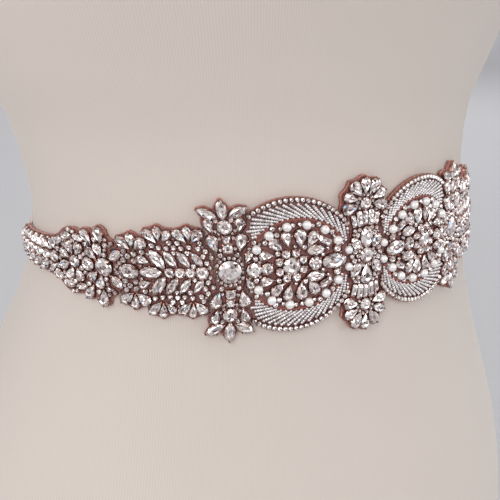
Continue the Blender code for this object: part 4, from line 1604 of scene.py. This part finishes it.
@dataclass
class StoneSetter:
    """Places cut stones and their cups, prongs, pearls and beads on the wrapped band."""

    wrap: Wrap
    backing: float = 1.6
    seat: float = 0.2
    # Shares of facets given a painted dark reflection and a painted blue glint.
    dark: float = 0.04
    blue: float = 0.008
    rng: np.random.Generator = field(default_factory=lambda: np.random.default_rng(20))

    def spread(self, found: list[Stone], local: Array, lift: float) -> Array:
        """Carries local points, in millimetres, to every stone's seat, turned with it.

        Args:
            found: The stones.
            local: Stones by points by three, or points by three for all alike.
            lift: Millimetres over the form.

        Returns:
            Places in metres, stones by points by three.
        """
        at = np.array([(p.u, p.t) for p in found])
        turn = np.radians([p.turn for p in found])[:, None]
        place, along, up, out = (v[:, None] for v in self.wrap.seats(at, lift))
        x, y, z = (local[..., k] for k in range(3))
        across = x * np.cos(turn) - y * np.sin(turn)
        above = x * np.sin(turn) + y * np.cos(turn)
        return place + across[..., None] * along + above[..., None] * up + z[..., None] * out

    def halves(self, found: list[Stone]) -> Array:
        """Half length and half width of each stone, as stones by 1 by 2."""
        return np.array([(p.length, p.width) for p in found])[:, None] / 2

    def heights(self, found: list[Stone]) -> Array:
        """Height of each stone: its cut's own, or 0.9 mm plus 0.3 of its width where that is less."""
        return np.array([min(HEIGHTS[p.cut], 0.9 + 0.3 * p.width) for p in found])[:, None]

    def stones(self, parts: MeshParts, found: list[Stone], corners: int) -> None:
        """Adds cut stones, their facet tones painted reflections. A facet's tone is 0.82 its own and
        0.18 its stone's, times 0.94.

        The facets round the table darken together: a painted dark reflection in the table.
        A few of all turn dark, as painted dark reflections, and fewer turn into painted blue glints.

        Args:
            parts: Where they go.
            found: The stones.
            corners: Corners of each girdle.
        """
        for cut, group in by_cut(found):
            template = StoneTemplate(cut, corners)
            unit = template.points()
            plan = unit[None, :, :2] * self.halves(group)
            rise = self.seat + unit[None, :, 2] * self.heights(group)
            placed = self.spread(group, np.concatenate([plan, rise[..., None]], -1), self.backing)
            facets, wall = template.faces()
            for faces in (facets, wall):
                tones = self.rng.beta(1.2, 0.95, (len(group), len(faces)))
                tones = 0.94 * (0.82 * tones + 0.18 * self.rng.random((len(group), 1)))
                # Painted dark reflection: the table's facets of some stones darken together.
                tones[:, : corners // 2] *= self.rng.uniform(0.1, 1.0, (len(group), 1))
                # Painted dark reflections and painted blue glints on a few facets.
                tones[self.rng.random(tones.shape) < self.dark] = 0.0
                tones[self.rng.random(tones.shape) < self.blue] = 1.0
                parts.copies(placed, faces, tones)

    def cups(self, parts: MeshParts, found: list[Stone], corners: int) -> None:
        """Adds a thin cup round each stone: a closed band whose section is four points.

        Args:
            parts: Where they go.
            found: The stones.
            corners: Corners round each cup.
        """
        section = ((0.2, -0.2, 0.0), (0.26, 0.2, 0.2), (0.16, 0.2, 0.47), (-0.2, 0.2, 0.3))
        for cut, group in by_cut(found):
            line = StoneTemplate(cut, corners).girdle()
            halves, tall = self.halves(group), self.heights(group)
            rings = []
            for grow, base, share in section:
                plan = line[None] * (halves + grow)
                rise = np.broadcast_to(base + share * tall[..., None], (*plan.shape[:2], 1))
                rings.append(np.concatenate([plan, rise], -1))
            placed = self.spread(group, np.concatenate(rings, 1), self.backing)
            parts.copies(placed, tube_faces(len(section), corners, True))

    def prongs(self, parts: MeshParts, found: list[Stone]) -> None:
        """Adds four claws to each stone: bent bars from the cup up over the crown.

        Args:
            parts: Where they go.
            found: The stones.
        """
        stations = ((0.42, 0.24), (0.34, 0.62), (-0.42, 0.80))
        for cut, group in by_cut(found):
            first = 0 if cut in (Cut.DROP, Cut.LEAF) else 2
            line = StoneTemplate(cut, 16).girdle()[first::4]
            spot = line[None] * self.halves(group)
            size = np.linalg.norm(spot, axis=-1, keepdims=True)
            way = spot / size
            side = np.stack([-way[..., 1], way[..., 0]], -1)
            tall = self.heights(group)
            rings = []
            for out, share in stations:
                for wide, thick in ((-0.3, 0), (0.3, 0), (0.22, 0.3), (-0.22, 0.3)):
                    plan = way * (size + out) + side * wide
                    rise = (self.seat + share * tall + thick)[..., None]
                    rise = np.broadcast_to(rise, (*plan.shape[:2], 1))
                    rings.append(np.concatenate([plan, rise], -1))
            local = np.stack(rings, 2)
            count = local.shape[0] * local.shape[1]
            owners = [p for p in group for _ in range(4)]
            placed = self.spread(owners, local.reshape(count, 12, 3), self.backing)
            quads = tube_faces(3, 4, False)
            ends = np.array([[3, 2, 1, 0], [8, 9, 10, 11]])
            parts.copies(placed, np.concatenate([quads, ends])[:, ::-1])

    def globes(self, parts: MeshParts, found: list[Stone], sink: float, rows: int) -> None:
        """Adds balls: points at equal turns and equal steps from pole to pole.

        Args:
            parts: Where they go.
            found: Their places and diameters.
            sink: Part of the radius that is under the cloth.
            rows: Rings between the poles.
        """
        columns = rows * 2
        fall = np.linspace(0, math.pi, rows + 2)[1:-1, None]
        turn = np.arange(columns)[None] * 2 * math.pi / columns
        ring = [np.sin(fall) * np.cos(turn), np.sin(fall) * np.sin(turn), np.cos(fall) + 0 * turn]
        unit = np.concatenate([np.stack(ring, -1).reshape(-1, 3), [(0, 0, 1), (0, 0, -1)]])
        half = self.halves(found)[..., :1]
        local = unit[None] * half + np.concatenate([0 * half, 0 * half, half * (1 - sink)], -1)
        placed = self.spread(found, local, self.backing)
        j = np.arange(columns)
        on, last = (j + 1) % columns, (rows - 1) * columns
        top = np.stack([0 * j + rows * columns, j, on], -1)
        base = np.stack([0 * j + rows * columns + 1, last + on, last + j], -1)
        quads = tube_faces(rows, columns, False)[:, ::-1]
        parts.copies(placed, quads, ends=np.concatenate([top, base]))

    def beads(self, parts: MeshParts, found: list[Stone], pitch: float = 1.1) -> None:
        """Adds each row as short six-sided beads, end to end, each rolled by chance and given painted
        reflections by chance.

        Args:
            parts: Where they go.
            found: The rows.
            pitch: Length of a bead.
        """
        counts = [max(2, round(p.length / pitch)) for p in found]
        singles = []
        for p, count in zip(found, counts):
            a = math.radians(p.turn)
            for share in (np.arange(count) + 0.5) / count - 0.5:
                u, t = p.u + share * p.length * math.cos(a), p.t + share * p.length * math.sin(a)
                width = p.width * (1 + 0.16 * share)
                singles.append(stone(Cut.ROW, u, t, p.length / count, width, p.turn))
        halves = self.halves(singles)
        number = len(singles)
        roll = self.rng.random((number, 1)) * math.pi / 3
        rings = []
        for share, slim in ((-0.98, 0.74), (-0.5, 1.0), (0.5, 1.0), (0.98, 0.74)):
            turn = roll + np.arange(6)[None] * math.pi / 3
            round_way = halves[..., 1] * slim * (0.95 + 0.1 * self.rng.random((number, 1)))
            x = np.broadcast_to(share * halves[..., 0], turn.shape)
            y, z = round_way * np.cos(turn), round_way * np.sin(turn) + halves[..., 1] + 0.05
            rings.append(np.stack([x, y, z], -1))
        placed = self.spread(singles, np.concatenate(rings, 1), self.backing)
        quads = tube_faces(4, 6, False)
        ends = np.array([[5, 4, 3, 2, 1, 0], [18, 19, 20, 21, 22, 23]])
        # Painted reflections: each bead's tone, plus a little more for each facet, by chance.
        bead_painted_reflection = 0.6 * self.rng.beta(1.6, 1.0, (number, 1))
        parts.copies(placed, quads, bead_painted_reflection + 0.4 * self.rng.random((number, len(quads))), ends)


# The sash


@dataclass
class PanelMaker:
    """Makes one panel's cloth, corded edge, stones, settings, pearls, beads and chain."""

    panel: Panel
    wrap: Wrap
    setter: StoneSetter
    palette: Palette
    thickness: float = 1.6
    tuck: float = 0.45
    mesh_step: float = 2.6
    cord: float = 0.52
    cord_height: float = 0.95
    cord_step: float = 0.4
    cord_turn: float = 1.7
    broad: float = 6.0
    pronged: float = 3.0

    def name(self, kind: str) -> str:
        """A piece's name."""
        return f"{kind}_{self.panel.name}"

    def backing(self) -> bpy.types.Object:
        """The cloth: triangles of the cut at two heights, joined round the edge.

        Returns:
            The backing.
        """
        loop = spaced(self.panel.loop, 1.6)
        loose = grid(loop, self.mesh_step, self.mesh_step / 2)
        loose = loose[well_inside(loose, loop, 1.0)]
        points, faces = triangulate([loop], loose)
        faces = faces[inside(points[faces].mean(1), loop)]
        rim = np.array(open_edges(faces))
        count = len(points)
        wall = np.stack([rim[:, 0], rim[:, 0] + count, rim[:, 1] + count, rim[:, 1]], -1)
        outer = self.wrap.band(points[:, 0], points[:, 1], self.thickness)
        inner = self.wrap.band(points[:, 0], points[:, 1], -self.tuck)
        parts = MeshParts()
        parts.add(np.concatenate([outer, inner]), faces)
        parts.more(faces[:, ::-1] + count)
        parts.more(wall)
        cut = np.concatenate([points, points]) * CUT_SCALE
        return parts.build(self.name("backing"), self.palette.cloth, False, cut)

    def edge(self) -> bpy.types.Object:
        """The corded edge: a tube along the cut whose radius swells in two winding strands.

        Returns:
            The cord.
        """
        path = spaced(moved_out(spaced(self.panel.loop, 1.2), -0.3), self.cord_step)
        normal = normals(np.roll(path, -1, 0) - np.roll(path, 1, 0))
        away = np.min([edge_distance(path, loop) for loop in self.panel.beside], 0)
        slim = 0.45 + 0.55 * np.clip((away - 0.8) / 1.6, 0, 1)[:, None]
        turn = np.arange(8)[None] * math.pi / 4
        twists = max(1, round(len(path) * self.cord_step / self.cord_turn))
        strand = np.arange(len(path))[:, None] * 2 * math.pi * twists / len(path)
        radius = self.cord * slim * (1 + 0.22 * np.cos(2 * turn - strand))
        flat = path[:, None] + normal[:, None] * (radius * np.cos(turn))[..., None]
        lift = self.cord_height + radius * np.sin(turn)
        points = self.wrap.band(flat[..., 0], flat[..., 1], lift)
        parts = MeshParts()
        parts.add(points, tube_faces(len(path), 8, True)[:, ::-1])
        along = np.arange(len(path))[:, None] * self.cord_step * CUT_SCALE + 0 * turn
        cut = np.stack([along, turn / 50 + 0 * along], -1).reshape(-1, 2)
        return parts.build(self.name("corded_edge"), self.palette.cord, True, cut)

    def trimmings(self) -> list[bpy.types.Object]:
        """Everything set on the cloth.

        Returns:
            The pieces.
        """
        panel, setter, look = self.panel, self.setter, self.palette
        gems = [p for p in panel.large if p.cut is not Cut.PEARL]
        pearls = [p for p in panel.large if p.cut is Cut.PEARL]
        crystals, settings, studs = MeshParts(), MeshParts(), MeshParts()
        setter.stones(crystals, [p for p in gems if p.width > self.broad], 16)
        setter.stones(crystals, [p for p in gems if p.width <= self.broad], 12)
        setter.cups(settings, gems, 16)
        setter.prongs(settings, [p for p in gems if p.width > self.pronged])
        made = [crystals.build(self.name("crystals"), look.crystal, False)]
        if panel.small:
            setter.stones(studs, panel.small, 8)
            setter.cups(settings, panel.small, 8)
            made.append(studs.build(self.name("rhinestones"), look.crystal, False))
        made.append(settings.build(self.name("settings"), look.metal, False))
        if pearls:
            globes = MeshParts()
            setter.globes(globes, pearls, 0.18, 10)
            made.append(globes.build(self.name("pearls"), look.pearl, True))
        if panel.rows:
            rows = MeshParts()
            setter.beads(rows, panel.rows)
            made.append(rows.build(self.name("bead_rows"), look.bead, True))
        if panel.chains:
            links = MeshParts()
            spots = np.concatenate(panel.chains).tolist()
            spots = self.clear([stone(Cut.ROUND, u, t, 0.95) for u, t in spots])
            setter.globes(links, spots, 0.1, 3)
            made.append(links.build(self.name("chain"), look.cord, True))
        return made

    def clear(self, spots: list[Stone]) -> list[Stone]:
        """The chain's links that lie on this panel and clear of its stones."""
        at = np.array([(p.u, p.t) for p in spots])
        held = well_inside(at, self.panel.loop, 0.6)
        for other in self.panel.large + self.panel.small:
            held &= ~inside(at, other.outline(0.35))
        return [p for p, yes in zip(spots, held) if yes]

    def make(self) -> None:
        """Builds the panel and hides the model's applique for it."""
        cloth = self.backing()
        on_it = [self.edge(), *self.trimmings()]
        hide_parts(f"applique_{self.panel.name}")


@dataclass
class Ribbon:
    """The satin ribbon from one end of the band to the lap at the centre back."""

    side: Side
    wrap: Wrap
    palette: Palette
    start: float = 183.6
    width: float = 16.0
    neck: float = 8.0
    neck_length: float = 24.0
    thickness: float = 1.0
    lap: float = 24.0
    lap_lift: float = 1.35
    climb_from: float = 16.0
    climb_length: float = 14.0
    ripple: float = 0.05
    tuck: float = 0.45
    rows: int = 150
    across: int = 13

    def make(self) -> None:
        """Builds it: a closed section of two faces, carried round the waist.

        It widens from its neck and, on the wearer's left, climbs over the other's end. Its outer
        face ripples by the product of two sines, and rounds off at both edges.
        """
        sign, girth = self.side.value, self.wrap.half_girth
        start = self.start + sign * self.wrap.shift
        end = girth + self.lap / 2
        ring = np.linspace(start, end, self.rows)[:, None]
        wide = np.clip((ring - start) / self.neck_length, 0, 1)
        half = (self.neck + smoothed(wide, self.width - self.neck)) / 2
        climb = (ring - girth + self.lap / 2 + self.climb_from) / self.climb_length
        climb = np.clip(climb, 0, 1)
        lift = smoothed(climb, self.lap_lift) if sign > 0 else 0 * climb
        share = np.linspace(-1, 1, self.across)[None]
        wave = self.ripple * np.sin(ring / 3.1 + 2 * share) * (1 - share**2) * np.sin(ring / 11.0)
        edge = 1 - 0.28 * np.abs(share) ** 14
        upper_h = lift + self.thickness * edge + wave - self.ripple
        lower_h = lift - self.tuck * (1 - lift / self.lap_lift) + 0 * upper_h
        t = np.concatenate([-share * half, share * half], 1) + self.wrap.line(ring)
        h = np.concatenate([lower_h, upper_h], 1)
        s = sign * ring + 0 * t
        points = self.wrap.ring(s, t, h)
        loop = 2 * self.across
        faces = tube_faces(self.rows, loop, False)
        caps = np.stack([np.arange(loop)[::-1], (self.rows - 1) * loop + np.arange(loop)])
        if sign < 0:
            faces, caps = faces[:, ::-1], caps[:, ::-1]
        parts = MeshParts()
        parts.add(points, faces[:, ::-1])
        parts.more(caps[:, ::-1])
        cut = np.stack([ring + 0 * t, t], -1).reshape(-1, 2) * CUT_SCALE
        ribbon = parts.build(f"satin_{self.side.word}", self.palette.satin, True, cut)
        ribbon.data.set_sharp_from_angle(angle=math.radians(50))
        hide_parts(f"ribbon_{self.side.word}")


@dataclass
class FormCover:
    """The limbless form: its sections carried up, with small rounds at both flat ends."""

    shape: FormShape
    palette: Palette
    columns: int = 176
    rows: int = 240
    edge: float = 0.005

    def make(self) -> None:
        """Builds it."""
        low, high = self.shape.rows[0][0], self.shape.rows[-1][0]
        turns = np.arange(self.columns) * 2 * math.pi / self.columns
        levels = np.linspace(low + self.edge, high - self.edge, self.rows)
        body = np.stack([self.shape.point(turns, level, 0.0) for level in levels])
        rolls = np.append(np.radians(np.linspace(0, 75, 5))[1:], math.pi / 2)
        rims = []
        for end, sign in ((body[0], -1), (body[-1], 1)):
            centre = end.mean(0)
            away = end - centre
            size = np.hypot(away[:, 0], away[:, 1])[:, None]
            ring = []
            for a in rolls:
                pulled = centre + away * (1 - self.edge * (1 - math.cos(a)) / size)
                ring.append(pulled + (0, 0, sign * self.edge * math.sin(a)))
            rims.append(ring)
        stack = np.stack([*rims[0][::-1], *body, *rims[1]])
        count = len(stack)
        parts = MeshParts()
        parts.add(stack, tube_faces(count, self.columns, False))
        ids = np.arange(self.columns)
        caps = np.stack([ids[::-1], (count - 1) * self.columns + ids])
        parts.more(caps)
        cover = parts.build("form_cover", self.palette.knit, True)
        cover.data.set_sharp_from_angle(angle=math.radians(60))
        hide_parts("dress_form")


# The stage


@dataclass(frozen=True)
class SoftLight:
    """One square soft light, aimed at the band."""

    name: str
    place: Place
    size: float
    power: float
    colour: Colour = (1.0, 1.0, 1.0)

    def make(self, target: Place) -> None:
        """Builds it.

        Args:
            target: What it is aimed at.
        """
        data = bpy.data.lights.new(self.name, "AREA")
        data.size, data.energy, data.color = self.size, self.power, self.colour
        light = linked(self.name, data)
        light.location = self.place
        way = Vector(target) - Vector(self.place)
        light.rotation_euler = way.to_track_quat("-Z", "Y").to_euler()


@dataclass(frozen=True)
class Stage:
    """Pale floor, soft lights, the world and the camera."""

    waist: float = 0.240
    azimuth: float = -33.0
    elevation: float = 15.4
    roll: float = -0.4
    distance: float = 0.505
    aim: tuple[float, float] = (-0.0027, -0.0228)
    lens: float = 72.65
    floor_half: float = 30.0
    world: Colour = (0.535, 0.535, 0.55)
    studio: tuple[tuple[float, float], ...] = ((0.38, 0.03), (0.46, 0.12), (0.53, 0.36), (0.62, 1.0))
    lights: tuple[SoftLight, ...] = (
        SoftLight("key_light", (-1.3, -1.2, 1.1), 0.9, 13.5, (1.0, 0.98, 0.96)),
        SoftLight("fill_light", (1.2, -1.3, 0.6), 0.8, 5.0, (0.96, 0.98, 1.0)),
        SoftLight("top_light", (0.0, -0.5, 2.0), 0.5, 5.8),
        SoftLight("side_light", (-1.3, 0.35, 0.55), 0.7, 1.3),
        SoftLight("back_light", (1.1, 1.3, 1.2), 0.9, 9.0),
    )

    def floor(self, palette: Palette) -> None:
        """A wide flat square."""
        mesh = bpy.data.meshes.new("floor")
        r = self.floor_half
        mesh.from_pydata([(-r, -r, 0), (r, -r, 0), (r, r, 0), (-r, r, 0)], [], [(0, 1, 2, 3)])
        mesh.materials.append(palette.floor)
        made = linked("floor", mesh)

    def air(self) -> None:
        """An even pale world, which gloss sees as a studio of bright windows and dark walls."""
        world = bpy.data.worlds.new("soft_air")
        g = Graph(world, "Background")
        g.set(Color=(*self.world, 1.0))
        windows = g.add("ShaderNodeTexNoise", Scale=3.0, Detail=0.5)
        g.join(g.add("ShaderNodeTexCoord").outputs["Generated"], windows.inputs["Vector"])
        stops = [(at, (level, level * 0.985, level * 0.98)) for at, level in self.studio]
        studio = g.add("ShaderNodeBackground", Strength=2.7)
        g.join(g.shades(windows.outputs["Fac"], stops), studio.inputs["Color"])
        mix = g.add("ShaderNodeMixShader")
        g.join(g.add("ShaderNodeLightPath").outputs["Is Glossy Ray"], mix.inputs["Fac"])
        g.join(g.shader.outputs["Background"], mix.inputs[1])
        g.join(studio.outputs["Background"], mix.inputs[2])
        g.join(mix.outputs["Shader"], g.tree.nodes["World Output"].inputs["Surface"])
        bpy.context.scene.world = world

    def camera(self) -> None:
        """The camera, from its turn and height about the waist and the point it is aimed at."""
        a, e, r = (math.radians(v) for v in (self.azimuth, self.elevation, self.roll))
        back = Vector((math.sin(a) * math.cos(e), -math.cos(a) * math.cos(e), math.sin(e)))
        place = back * self.distance
        target = Vector((math.cos(a), math.sin(a), 0)) * self.aim[0] + Vector((0, 0, self.aim[1]))
        behind = (place - target).normalized()
        right = Vector((0, 0, 1)).cross(behind).normalized()
        up = behind.cross(right)
        across = right * math.cos(r) + up * math.sin(r)
        above = up * math.cos(r) - right * math.sin(r)
        data = bpy.data.cameras.new("camera")
        data.lens, data.sensor_width, data.clip_start = self.lens, 36.0, 0.02
        made = linked("camera", data)
        facing = Matrix((across, above, behind)).transposed().to_4x4()
        made.matrix_world = Matrix.Translation(place + Vector((0, 0, self.waist))) @ facing
        bpy.context.scene.camera = made

    def make(self, palette: Palette) -> None:
        """Builds the stage, seen in plain display colours."""
        bpy.context.scene.view_settings.view_transform = "Standard"
        self.floor(palette)
        self.air()
        for light in self.lights:
            light.make((0.0, 0.0, self.waist))
        self.camera()


def main() -> None:
    """Builds every class in order."""
    logging.basicConfig(level=logging.INFO, format="%(name)s: %(message)s")
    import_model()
    palette = Palette.mixed()
    shape = FormShape()
    wrap = Wrap(shape)
    FormCover(shape, palette).make()
    setter = StoneSetter(wrap)
    for panel in Drawing().panels():
        LOG.info("%s: %d large, %d small", panel.name, len(panel.large), len(panel.small))
        PanelMaker(panel, wrap, setter, palette).make()
    for side in (Side.RIGHT, Side.LEFT):
        Ribbon(side, wrap, palette).make()
    Stage().make(palette)
    LOG.info("sizes written")


if __name__ == "__main__":
    main()
